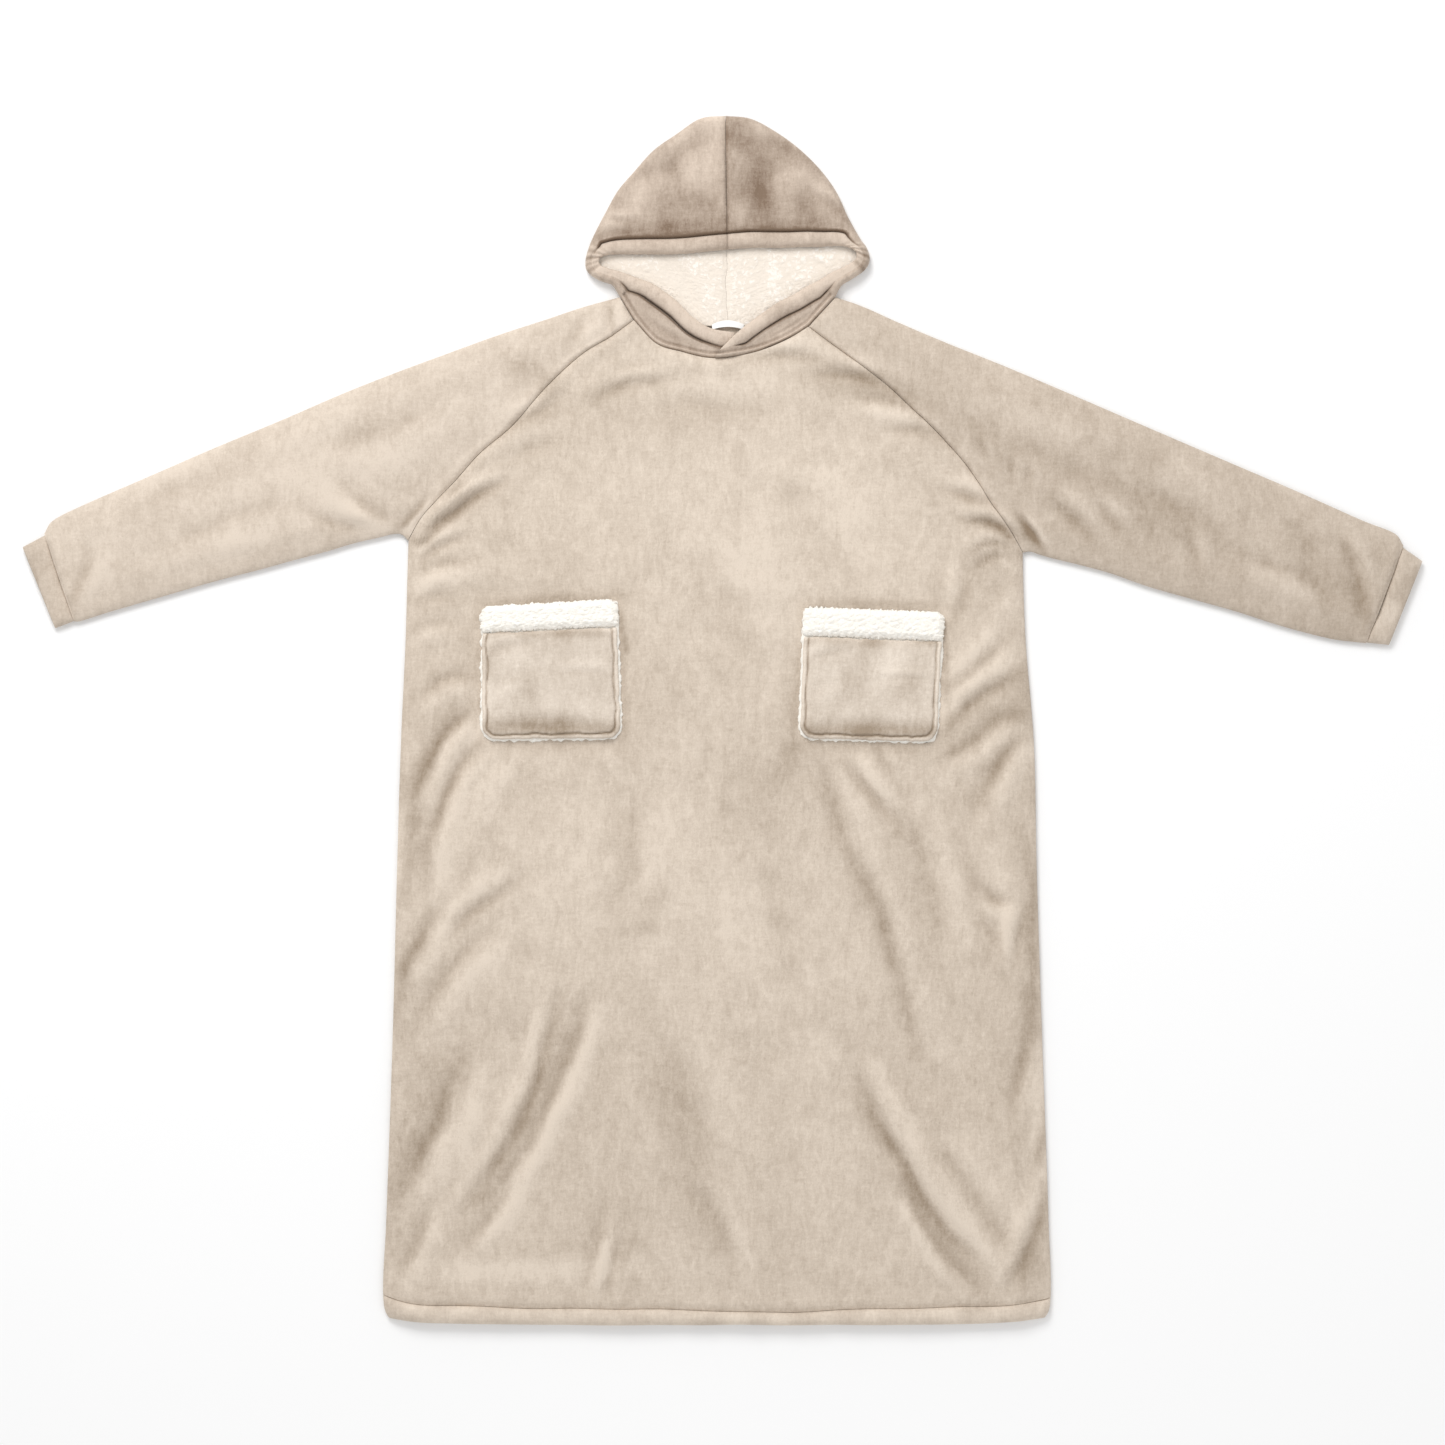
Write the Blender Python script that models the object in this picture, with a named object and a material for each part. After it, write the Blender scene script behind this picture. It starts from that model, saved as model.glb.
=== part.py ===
"""Wearable blanket hoodie, laid flat on its back with the hood open towards +Y.

Lengths in the tables are millimetres on the flat garment. +X is the wearer's left, +Y the hood,
+Z up, and the origin lies under the middle of the whole outline, on the surface it rests on.
"""
import bpy
import bmesh
import numpy as np

MM = 0.001

# Cloth and seams
WALL = 4.0              # flannel with its bonded sherpa, pressed by lying flat
LAYER_GAP = 0.8         # air between the front and the back
SEAM_GAP = 0.45         # between pieces that are sewn edge to edge
FOLD_REACH = 12.0       # how far in from a folded or seamed edge the cloth rounds down
FLAT_HEIGHT = 2 * WALL + LAYER_GAP
MID_HEIGHT = FLAT_HEIGHT / 2
SIDE_SEAM_GAP = 0.3     # between front and back where they meet at the side seam
ARC = np.radians((0.0, 30.0, 60.0, 90.0))
ARC_INSET = 1.0 - np.cos(ARC)
ARC_RISE = np.sin(ARC)

# Loft of the front over the back, and where it dies out
LOFT = 2.6
LOFT_FADE = 34.0
FRONT_ROWS = 27
BACK_ROWS = 9

# Hood
HOOD_ROUND = 8.0
HOOD_TOP = 12.0         # top of the upper layer at its rounded edge
HOOD_MID = HOOD_TOP / 2
FACE_EDGE_TOP = 12.4    # top of the plain cloth at the face opening, which clears the lining
CASING_SPAN = 21.0
CENTRE_SEAM_X = 4.3
HOOD_SHIFT = 0.5
LINING_FLOOR = WALL + 0.3
LINING_THICK = 3.0
LINING_REACH = 5.0      # how far the lining runs on under the face edge
LINING_HEM_Y = 423.0

# Hem band and cuffs
HEM_PUFF = 2.4
CUFF_PUFF = 1.2
SLEEVE_PUFF = 3.5

# Pockets
POCKET_SEAT = 2.0       # even loft of the front under a pocket
POCKET_ROUND = 16.0     # radius of the two lower corners
POCKET_FLANGE = 2.2     # sherpa that shows round the flannel
POCKET_LINING = 2.4
POCKET_FACE = 3.0
POCKET_PUFF = 2.4
BAND_THICK = 6.0        # sherpa turned down over the pocket's top
SEAT_MARGIN_X = 18.0
SEAT_MARGIN_Y = 42.0
SEAT_FADE = 26.0

# Label
LABEL_WIDTH = 34.0
LABEL_DEPTH = 9.0
LABEL_THICK = 0.7
LABEL_ARCH = 2.5


def table(names, *rows):
    """Rows of a table as one array for each named column."""
    return dict(zip(names.split(), np.array(rows, float).T))


# Side seams, from the hem up to the armpit
SIDES = table("y right_x left_x",
              (-648, -362, 350), (-621, -364, 352), (-540, -361, 350), (-340, -354, 343),
              (-150, -349, 337), (-21, -345, 334), (91, -340, 325), (160, -338, 322.5),
              (193, -337, 322))

# Cut line along the top of the front: right raglan, neck, left raglan
RIGHT_RAGLAN = table("x y",
                     (-337, 193), (-325, 214), (-310, 232), (-286, 257), (-263, 283), (-226, 315),
                     (-186, 360), (-147, 395), (-120, 411), (-95, 429))
FRONT_NECK = table("x y",
                   (-74, 406), (-44, 395), (-8, 388), (19, 391), (46, 398), (73, 410))
LEFT_RAGLAN = table("x y",
                    (322, 180), (310, 201), (287, 234), (268, 264), (238, 300), (201, 336),
                    (179, 357), (149, 380), (112, 407), (92, 422))
RIGHT_SHOULDER = np.array((-110.0, 454.0))
LEFT_SHOULDER = np.array((121.0, 454.0))

# Hem: the seam that holds the band, and the band's lower edge
HEM = table("x seam_y low_y",
            (-364, -616, -641), (-343, -623, -644), (-287, -627, -646), (-184, -630, -648),
            (-90, -630, -648), (82, -634, -648), (128, -632, -648), (246, -628, -647),
            (312, -626, -645), (352, -619, -641))

# Sleeves, one row for each section from the cuff to the raglan seam
RIGHT_SLEEVE = table("top_x top_y low_x low_y",
                     (-727, 201, -695, 106), (-717, 215, -687, 107), (-683, 232, -655, 117),
                     (-614, 262, -600, 133), (-545, 292, -545, 149), (-475, 321, -495, 162),
                     (-408, 350, -459, 172), (-350, 373, -425, 181), (-296, 393, -395, 190),
                     (-241, 413, -369, 196), (-189, 430, -352, 200), (-150, 443, -343, 199),
                     (-110, 454, -337, 193))
LEFT_SLEEVE = table("top_x top_y low_x low_y",
                    (730, 188, 690, 83), (720, 201, 679, 84), (685, 215, 650, 88),
                    (620, 244, 600, 101), (550, 274, 550, 117), (480, 304, 500, 131),
                    (415, 332, 455, 144), (350, 360, 415, 158), (295, 383, 382, 167),
                    (240, 405, 357, 173), (188, 427, 339, 178), (150, 444, 330, 181),
                    (121, 454, 322, 180))

# Outer edge of each cuff: shoulder side, then underarm side
RIGHT_CUFF = table("x y", (-751, 186), (-716, 99))
LEFT_CUFF = table("x y", (751, 171), (715, 81))

# Hood, one row for each section, from the centre seam round to the front of the neck. The edge
# is the face opening, the rim is the folded outline and then the neck seam, band is the height
# of the edge casing and lift raises the overlap at the throat.
RIGHT_HOOD = table("edge_x edge_y rim_x rim_y band lift",
                   (5, 504, 3, 648, 1, 0), (-17, 502, -24, 645, 1, 0), (-36, 500, -50, 628, 1, 0),
                   (-55, 499, -74, 611, 1, 0), (-74, 499, -94, 589, 1, 0),
                   (-90, 499, -112, 568, 1, 0), (-104, 499, -125, 545, 1, 0),
                   (-114, 499, -136, 524, 1, 0), (-124, 498, -143, 508, 1, 0),
                   (-131, 495, -147, 493, 1, 0), (-131, 488, -145, 481, 1, 0),
                   (-122, 484, -133, 472, 1, 0), (-108, 480, -119, 467, 1, 0),
                   (-92, 474, -110, 454, 1, 0), (-76, 468, -103, 442, 1, 0),
                   (-65, 461, -95, 429, 1, 0), (-49, 449, -74, 406, 1, 0),
                   (-32, 432, -44, 395, 1, 0), (-13, 420, -8, 388, 0.6, 0),
                   (13, 415, 5.5, 389.5, 0, -0.4))
LEFT_HOOD = table("edge_x edge_y rim_x rim_y band lift",
                  (5, 504, 3, 648, 1, 0), (28, 506, 30, 645, 1, 0), (48, 506, 57, 631, 1, 0),
                  (67, 506, 83, 612, 1, 0), (85, 507, 106, 589, 1, 0), (103, 507, 123, 565, 1, 0),
                  (117, 508, 135, 539, 1, 0), (127, 508, 148, 516, 1, 0),
                  (136, 506, 155, 506, 1, 0), (143, 501, 158, 494, 1, 0),
                  (142, 493, 153, 483, 1, 0), (129, 485, 139, 473, 1, 0),
                  (118, 480, 128, 466, 1, 0), (105, 472, 121, 454, 1, 0),
                  (89, 464, 106.5, 438, 1, 0), (76, 456, 92, 422, 1, 0), (60, 448, 73, 410, 1, 0),
                  (41, 435, 46, 398, 1, 0.6), (17, 416, 19, 391, 1, 4.4),
                  (-1, 398, -8, 388, 0.5, 5.2))
NECK_SECTION = 13       # the section that ends at the shoulder, where the folded outline ends

# Pockets: corners from the top right round to the bottom right, as the wearer has them
RIGHT_POCKET = table("x y", (-257, 120), (-114, 128), (-109, -19), (-257, -20))
LEFT_POCKET = table("x y", (88, 120), (236, 114), (229, -23), (83, -19))
RIGHT_BAND_START = 0.815
LEFT_BAND_START = 0.79

# Largest folds: a trough has a negative height, bow bends it to the left of its direction
FOLDS = table("x0 y0 x1 y1 bow width height",
              (-316, 204, -240, 256, 0, 17, -2.6), (-322, 222, -262, 240, 6, 16, 5.0),
              (248, 146, 306, 196, 12, 18, 5.5), (262, 172, 303, 216, 10, 15, -2.6),
              (-284, 30, -340, -150, -14, 17, 6.5), (-262, -26, -318, -190, -14, 19, -2.6),
              (-286, -60, -330, -240, -12, 16, 4.5), (-150, -310, -251, -514, 12, 20, -2.6),
              (-176, -330, -268, -540, 12, 22, 4.5), (-285, -376, -340, -500, 8, 20, 5.0),
              (238, -6, 322, 62, 0, 17, 5.0), (256, -30, 326, 18, 0, 17, -2.6),
              (320, -20, 268, -100, 0, 20, 5.0), (112, -84, 208, -364, 20, 20, -2.6),
              (88, -92, 178, -370, 20, 22, 4.5), (147, -388, 285, -601, -8, 20, -2.6),
              (182, -400, 300, -596, -8, 20, 7.0), (120, -420, 246, -606, -8, 22, 4.0),
              (30, 372, 190, 346, 8, 16, 3.5), (-140, 340, -40, 352, 6, 16, 3.5),
              (336, 222, 360, 176, 0, 18, 4.5), (372, 216, 420, 184, 0, 18, 4.0),
              (-372, 262, -330, 214, 0, 18, 4.0), (-560, 225, -470, 262, 6, 22, 3.0),
              (560, 170, 470, 226, 6, 22, 3.0))


def smooth(value):
    """Ease from 0 to 1, level at both ends."""
    value = np.clip(value, 0.0, 1.0)
    return value * value * (3.0 - 2.0 * value)


def relief(x, y):
    """Height of the front's folds over its flat lie: each fold is a soft ridge or trough along
    an arc, a bell across its width that dies out towards both ends."""
    height = np.full(np.shape(x), LOFT)
    for x0, y0, x1, y1, bow, width, rise in zip(*FOLDS.values()):
        length = np.hypot(x1 - x0, y1 - y0)
        along = ((x - x0) * (x1 - x0) + (y - y0) * (y1 - y0)) / length ** 2
        across = ((x1 - x0) * (y - y0) - (y1 - y0) * (x - x0)) / length
        reach = np.clip(along, 0.0, 1.0)
        across = across - bow * 4.0 * reach * (1.0 - reach)
        beyond = (along - reach) * length / (1.6 * width)
        taper = np.sin(np.pi * (0.12 + 0.76 * reach))
        height = height + rise * taper * np.exp(-(across / width) ** 2 - beyond ** 2)
    height = np.maximum(height, 0.0)
    for pocket in (RIGHT_POCKET, LEFT_POCKET):
        out_x = np.maximum(pocket["x"].min() - x, x - pocket["x"].max()) - SEAT_MARGIN_X
        out_y = np.maximum(pocket["y"].min() - y, y - pocket["y"].max()) - SEAT_MARGIN_Y
        away = smooth(np.maximum(out_x, out_y) / SEAT_FADE)
        height = POCKET_SEAT + (height - POCKET_SEAT) * away
    return height


def side_x(side, y):
    """Where a side seam lies at a height on the garment."""
    return np.interp(y, SIDES["y"], SIDES[side])


def top_y(x):
    """The front's cut line: up one raglan, round the neck and down the other."""
    line_x = np.concatenate((RIGHT_RAGLAN["x"], FRONT_NECK["x"], LEFT_RAGLAN["x"][::-1]))
    line_y = np.concatenate((RIGHT_RAGLAN["y"], FRONT_NECK["y"], LEFT_RAGLAN["y"][::-1]))
    return np.interp(x, line_x, line_y)


def back_top_y(x):
    """The back's cut line: the same raglans, and a straight neck between them."""
    line_x = np.concatenate((RIGHT_RAGLAN["x"], LEFT_RAGLAN["x"][::-1]))
    line_y = np.concatenate((RIGHT_RAGLAN["y"], LEFT_RAGLAN["y"][::-1]))
    return np.interp(x, line_x, line_y)


def torso_columns(reach_inset):
    """Columns across the body at armpit height, with how far each has risen over the side fold:
    two arcs at the seams, given by their insets, and the seam tables' points between them."""
    middle = np.concatenate((RIGHT_RAGLAN["x"][2:], FRONT_NECK["x"], LEFT_RAGLAN["x"][:1:-1]))
    right, left = RIGHT_RAGLAN["x"][0], LEFT_RAGLAN["x"][0]
    columns = np.concatenate((right + reach_inset, middle, left - reach_inset[::-1]))
    rise = np.concatenate((ARC_RISE, np.ones(len(middle)), ARC_RISE[::-1]))
    return columns, rise


def torso_x(column, y):
    """A column's place at a height: the arcs keep their inset from the side seam, and the rest
    spread with the body towards the hem."""
    right, left = RIGHT_RAGLAN["x"][0], LEFT_RAGLAN["x"][0]
    share = np.clip((column - right - FOLD_REACH) / (left - right - 2 * FOLD_REACH), 0.0, 1.0)
    shift_right = side_x("right_x", y) - right
    shift_left = side_x("left_x", y) - left
    return column + shift_right * (1.0 - share) + shift_left * share


def side_fade(column):
    """How much of the front's loft a column has: none at the side seams."""
    right, left = RIGHT_RAGLAN["x"][0], LEFT_RAGLAN["x"][0]
    return smooth(np.minimum(column - right, left - column) / LOFT_FADE)


def hem_line(column, line):
    """The hem's seam or lower edge under a column."""
    x = torso_x(column, HEM["seam_y"].mean())
    return np.interp(x, HEM["x"], HEM[line])


OUTER_INSET = FOLD_REACH * ARC_INSET
INNER_INSET = WALL + (FOLD_REACH - WALL) * ARC_INSET


def fabric(name, colour, roughness):
    """A plain cloth material."""
    material = bpy.data.materials.new(name)
    material.use_nodes = True
    shader = material.node_tree.nodes["Principled BSDF"]
    shader.inputs["Base Color"].default_value = (*colour, 1.0)
    shader.inputs["Roughness"].default_value = roughness
    shader.inputs["Metallic"].default_value = 0.0
    shader.inputs["Sheen Weight"].default_value = 0.4
    return material


def add_piece(name, points, faces, material):
    """One sewn piece as an object, from points in millimetres."""
    mesh = bpy.data.meshes.new(name)
    mesh.from_pydata((np.asarray(points) * MM).tolist(), [], faces)
    shape = bmesh.new()
    shape.from_mesh(mesh)
    loose = [point for point in shape.verts if not point.link_faces]
    bmesh.ops.delete(shape, geom=loose, context="VERTS")
    bmesh.ops.recalc_face_normals(shape, faces=shape.faces)
    shape.to_mesh(mesh)
    shape.free()
    mesh.materials.append(material)
    mesh.shade_smooth()
    mesh.set_sharp_from_angle(angle=np.radians(50.0))
    piece = bpy.data.objects.new(name, mesh)
    garment.objects.link(piece)
    return piece


def wall(name, outer, inner, material, closed=False, keep=None):
    """A closed wall of cloth between two grids of points, rows by columns. A closed grid runs
    on from its last column to its first, and keep says which cells are cloth."""
    rows, columns = outer.shape[:2]
    count = rows * columns
    index = np.arange(count).reshape(rows, columns)
    if closed:
        index = np.hstack((index, index[:, :1]))
    cells = np.stack((index[:-1, :-1], index[:-1, 1:], index[1:, 1:], index[1:, :-1]), -1)
    if keep is not None:
        cells = cells[keep]
    outside = cells.reshape(-1, 4)
    inside = outside[:, ::-1] + count
    starts = outside.ravel()
    ends = np.roll(outside, -1, axis=1).ravel()
    edges = set(zip(starts.tolist(), ends.tolist()))
    rim = [(b, a, a + count, b + count) for a, b in sorted(edges) if (b, a) not in edges]
    points = np.concatenate((outer.reshape(-1, 3), inner.reshape(-1, 3)))
    return add_piece(name, points, outside.tolist() + inside.tolist() + rim, material)


def grid_of(x, y, z):
    """Three arrays as one grid of points."""
    return np.stack(np.broadcast_arrays(x, y, z), -1)


def front_panel():
    """The front: one cut from side seam to side seam, hem to neck, lofted over the back."""
    grids = []
    seam = MID_HEIGHT + SIDE_SEAM_GAP / 2
    for inset, lie in ((OUTER_INSET, FLAT_HEIGHT), (INNER_INSET, FLAT_HEIGHT - WALL)):
        column, rise = torso_columns(inset)
        up = np.linspace(0.0, 1.0, FRONT_ROWS)[:, None]
        low = hem_line(column, "seam_y")
        y = low + (top_y(column) - low) * up
        x = torso_x(column, y)
        z = seam + rise * (lie + relief(x, y) * side_fade(column) - seam)
        grids.append(grid_of(x, y, z))
    return wall("front_panel", *grids, flannel)


def back_panel():
    """The back: the same cut with a higher neck, flat on the surface."""
    grids = []
    seam = MID_HEIGHT - SIDE_SEAM_GAP / 2
    for inset, lie in ((OUTER_INSET, 0.0), (INNER_INSET, WALL)):
        column, rise = torso_columns(inset)
        up = np.linspace(0.0, 1.0, BACK_ROWS)[:, None]
        low = hem_line(column, "seam_y")
        y = low + (back_top_y(column) - low) * up
        grids.append(grid_of(torso_x(column, y), y, seam + rise * (lie - seam)))
    return wall("back_panel", *grids, flannel)


def hem_band():
    """The turned hem: a flat ring all round, thicker in its middle."""
    down = np.array((0.0, 0.2, 0.5, 0.85, 1.0))[:, None]
    puff = HEM_PUFF * np.array((0.0, 0.7, 1.0, 0.6, -0.6))[:, None]
    tuck = np.array((0.0, 0.0, 0.0, 1.5, 5.0))[:, None]
    grids = []
    for inset, top, low in ((OUTER_INSET, FLAT_HEIGHT, 0.0),
                            (INNER_INSET, FLAT_HEIGHT - WALL, WALL)):
        column, rise = torso_columns(inset)
        start = hem_line(column, "seam_y") - SEAM_GAP
        y = start + (hem_line(column, "low_y") - start) * down
        x = torso_x(column, y)
        x = x + tuck * (smooth((60.0 - (column - column[0])) / 60.0)
                        - smooth((60.0 - (column[-1] - column)) / 60.0))
        loft = relief(x, y) * side_fade(column)
        bulge = puff if low == 0.0 else 0.0
        upper = grid_of(x, y, MID_HEIGHT + rise * (top + loft + bulge - MID_HEIGHT))
        under = grid_of(x, y, MID_HEIGHT + rise * (low - MID_HEIGHT))
        grids.append(np.concatenate((upper, under[:, -2:0:-1]), axis=1))
    return wall("hem_band", *grids, flannel, closed=True)


def section_points(inset, shoulder, raglan):
    """The sleeve's seam with the body, from the shoulder down the neck and along the raglan to
    the armpit, with arcs of the given insets at both folds."""
    corner = np.array((raglan["x"][-1], raglan["y"][-1]))
    line = np.column_stack((raglan["x"], raglan["y"]))
    along_neck = (corner - shoulder) / np.linalg.norm(corner - shoulder)
    first = shoulder + inset[:, None] * along_neck
    last = line[0] + (inset[::-1, None] / FOLD_REACH) * (line[1] - line[0])
    return np.concatenate((first, line[:1:-1], last))


def sleeve(name, rows, shoulder, raglan, outward):
    """A sleeve as a flat tube: straight sections at the cuff that bend into the raglan line."""
    grids = []
    top_edge = np.column_stack((rows["top_x"], rows["top_y"]))
    low_edge = np.column_stack((rows["low_x"], rows["low_y"]))
    along = np.linspace(0.0, 1.0, len(top_edge))
    bend = np.clip((along - 0.45) / 0.55, 0.0, 1.0) ** 1.8
    chord = low_edge - top_edge
    length = np.linalg.norm(chord, axis=1)
    for inset, top, low in ((OUTER_INSET, FLAT_HEIGHT, 0.0),
                            (INNER_INSET, FLAT_HEIGHT - WALL, WALL)):
        seam = section_points(inset, shoulder, raglan)
        steps = np.linalg.norm(np.diff(section_points(OUTER_INSET, shoulder, raglan), axis=0), axis=1)
        share = np.concatenate(([0.0], np.cumsum(steps))) / steps.sum()
        inner_share = (share[4:-4] - share[3]) / (share[-4] - share[3])
        spread = []
        for size in length:
            ends = inset / size
            start = FOLD_REACH / size
            spread.append(np.concatenate((ends, start + inner_share * (1.0 - 2.0 * start),
                                          1.0 - ends[::-1])))
        spread = np.array(spread)
        flat = top_edge[:, None] + spread[..., None] * chord[:, None]
        place = flat + bend[:, None, None] * (seam - flat[-1])
        place = place + SEAM_GAP * np.array((1.25 * outward, 0.25))
        rise = np.concatenate((ARC_RISE, np.ones(len(inner_share)), ARC_RISE[::-1]))
        edge = np.minimum(spread, 1.0 - spread) * length[:, None]
        loft = relief(place[..., 0], place[..., 1]) * smooth(edge / LOFT_FADE)
        loft = loft + SLEEVE_PUFF * np.sin(np.pi * spread) * np.sin(np.pi * along)[:, None]
        upper = grid_of(place[..., 0], place[..., 1], MID_HEIGHT + rise * (top + loft - MID_HEIGHT))
        under = grid_of(place[..., 0], place[..., 1], MID_HEIGHT + rise * (low - MID_HEIGHT))
        grids.append(np.concatenate((upper, under[:, -2:0:-1]), axis=1))
    return wall(name, *grids, flannel, closed=True)


def cuff(name, rows, edge, outward):
    """A cuff as a short flat tube that starts just inside the sleeve's end."""
    top = np.array((rows["top_x"][0], rows["top_y"][0]))
    low = np.array((rows["low_x"][0], rows["low_y"][0]))
    edge_top = np.array((edge["x"][0], edge["y"][0]))
    edge_low = np.array((edge["x"][1], edge["y"][1]))
    across = (low - top) / np.linalg.norm(low - top)
    away = np.array((-across[1], across[0])) * (1.0 if -across[1] * outward > 0 else -1.0)
    start_top = top + 2.0 * across + (SEAM_GAP + 0.25) * away
    start_low = low - 1.0 * across + (SEAM_GAP + 0.25) * away
    down = np.array((0.0, 0.25, 0.8, 1.0))[:, None]
    puff = CUFF_PUFF * np.array((-0.5, 1.0, 1.0, -0.6))[:, None]
    first = start_top + (edge_top - start_top) * down
    second = start_low + (edge_low - start_low) * down
    grids = []
    for inset, top_z, low_z in ((OUTER_INSET, FLAT_HEIGHT, 0.0),
                                (INNER_INSET, FLAT_HEIGHT - WALL, WALL)):
        length = np.linalg.norm(second - first, axis=1)[:, None]
        ends = inset / length
        start = FOLD_REACH / length
        middle = start + np.array((0.25, 0.5, 0.75)) * (1.0 - 2.0 * start)
        spread = np.hstack((ends, middle, 1.0 - ends[:, ::-1]))
        place = first[:, None] + spread[..., None] * (second - first)[:, None]
        rise = np.concatenate((ARC_RISE, np.ones(3), ARC_RISE[::-1]))
        bulge = puff if low_z == 0.0 else 0.0
        upper = grid_of(place[..., 0], place[..., 1],
                        MID_HEIGHT + rise * (top_z + bulge - MID_HEIGHT))
        under = grid_of(place[..., 0], place[..., 1], MID_HEIGHT + rise * (low_z - MID_HEIGHT))
        grids.append(np.concatenate((upper, under[:, -2:0:-1]), axis=1))
    return wall(name, *grids, flannel, closed=True)


# Across the casing from the face edge: distance in, and height over the plain cloth
CASING = table("inset height",
               (0, -0.6), (2.5, 1.9), (8, 3.0), (14.5, 2.1), (17.5, -1.4), (21, 0))


def hood_half(name, rows, outward):
    """One half of the hood: each section runs from the face edge over the upper layer to the
    folded rim and back under to the centre seam. Past the shoulder only the upper layer is
    left, and it ends at the neck seam."""
    edge = np.column_stack((rows["edge_x"], rows["edge_y"]))
    rim = np.column_stack((rows["rim_x"], rows["rim_y"]))
    seam_shift = np.zeros((len(edge), 2))
    seam_shift[0, 0] = 0.5 * SIDE_SEAM_GAP * outward
    edge = edge + seam_shift + np.array((0.0, HOOD_SHIFT))
    rim = rim + seam_shift + np.array((0.0, HOOD_SHIFT))
    folded = np.arange(len(edge)) <= NECK_SECTION
    length = np.linalg.norm(rim - edge, axis=1)
    scale = np.clip((length - HOOD_ROUND) / CASING_SPAN, 0.0, 1.0)
    band = rows["band"] * smooth(scale)
    neck_centre_y = np.interp(CENTRE_SEAM_X, (-95, 92), (429, 422)) + HOOD_SHIFT
    centre_y = np.linspace(520.0, neck_centre_y, NECK_SECTION + 1)
    centre_x = CENTRE_SEAM_X + 0.5 * SIDE_SEAM_GAP * outward
    centre = np.column_stack((np.full(len(centre_y), centre_x), centre_y))
    corner = rim[NECK_SECTION + 2]
    grids = []
    for wall_inset, top_drop, under_z in ((0.0, 0.0, 0.0), (WALL, WALL, WALL)):
        arc = wall_inset + (HOOD_ROUND - wall_inset) * ARC_INSET
        collar_arc = HOOD_ROUND * ARC_INSET
        arcs = np.where(folded[:, None], arc, collar_arc)
        casing_in = CASING["inset"] * scale[:, None]
        run = length[:, None] - HOOD_ROUND - casing_in[:, -1:]
        middle = casing_in[:, -1:] + run * np.array((0.33, 0.67))
        reach = np.hstack((casing_in, middle, length[:, None] - arcs[:, ::-1]))
        share = reach / length[:, None]
        place = edge[:, None] + share[..., None] * (rim - edge)[:, None]
        plain_folded = FACE_EDGE_TOP + (HOOD_TOP - FACE_EDGE_TOP) * smooth(share)
        plain_collar = FACE_EDGE_TOP + (FLAT_HEIGHT - FACE_EDGE_TOP) * smooth(1.25 * share - 0.25)
        plain = np.where(folded[:, None], plain_folded, plain_collar) + rows["lift"][:, None]
        height = plain - top_drop
        if wall_inset == 0.0:
            height[:, :6] += CASING["height"] * band[:, None]
        rise = np.ones_like(height)
        rise[:, -4:] = np.where(folded[:, None], ARC_RISE[::-1], 1.0)
        height = HOOD_MID + rise * (height - HOOD_MID)
        upper = grid_of(place[..., 0], place[..., 1], height)

        back_rim = rim[:NECK_SECTION + 1]
        back_length = np.linalg.norm(centre - back_rim, axis=1)
        stops = np.array((0.25, 0.5, 0.75, 1.0))
        back_share = np.hstack((arc[1:] / back_length[:, None], np.tile(stops, (len(centre), 1))))
        straight = back_rim[:, None] + back_share[..., None] * (centre - back_rim)[:, None]
        along_neck = (corner - back_rim[-1]) / np.linalg.norm(corner - back_rim[-1])
        neck_line = np.concatenate((back_rim[-1] + arc[1:, None] * along_neck,
                                    corner + np.array((0.0, 1 / 3, 2 / 3, 1.0))[:, None]
                                    * (centre[-1] - corner)))
        turn = (np.arange(NECK_SECTION + 1) == NECK_SECTION).astype(float)
        turned = straight + turn[:, None, None] * (neck_line - straight[-1])
        lower_rise = np.concatenate((ARC_RISE[1:], np.ones(4)))
        lower_z = HOOD_MID + lower_rise * (under_z - HOOD_MID)
        lower = grid_of(turned[..., 0], turned[..., 1], lower_z)
        padding = np.repeat(lower[-1:], len(edge) - len(lower), axis=0)
        lower = np.concatenate((lower, padding))
        grids.append(np.concatenate((upper, lower), axis=1))
    rim_column = upper.shape[1] - 1
    keep = np.ones((len(edge) - 1, grids[0].shape[1] - 1), bool)
    keep[NECK_SECTION:, rim_column:] = False
    return wall(name, *grids, flannel, keep=keep)


def hood_lining(name, rows, outward):
    """The sherpa that shows in the face opening: a fan from the centre seam to just under the
    face edge, on the hood's lower layer."""
    edge = np.column_stack((rows["edge_x"], rows["edge_y"]))[:-1]
    rim = np.column_stack((rows["rim_x"], rows["rim_y"]))[:-1]
    length = np.linalg.norm(rim - edge, axis=1)
    reach = np.minimum(LINING_REACH, 0.28 * length)
    outer_edge = edge + (rim - edge) * (reach / length)[:, None]
    centre_x = CENTRE_SEAM_X + 0.8 * outward
    outer_edge[0, 0] = centre_x
    outer_edge[:, 1] = np.maximum(outer_edge[:, 1], LINING_HEM_Y)
    centre_y = np.linspace(492.0, LINING_HEM_Y, len(edge))
    centre = np.column_stack((np.full(len(edge), centre_x), centre_y))
    if outward > 0:
        outer_edge[:, 0] = np.maximum(outer_edge[:, 0], centre_x)
    share = np.array((0.0, 0.33, 0.67, 0.9, 1.0))
    place = centre[:, None] + share[:, None] * (outer_edge - centre)[:, None]
    crown = np.array((1.0, 1.0, 1.0, 1.0, 0.7)) * LINING_THICK
    x, y = place[..., 0], place[..., 1]
    return wall(name, grid_of(x, y, LINING_FLOOR + crown), grid_of(x, y, LINING_FLOOR), sherpa)


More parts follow.
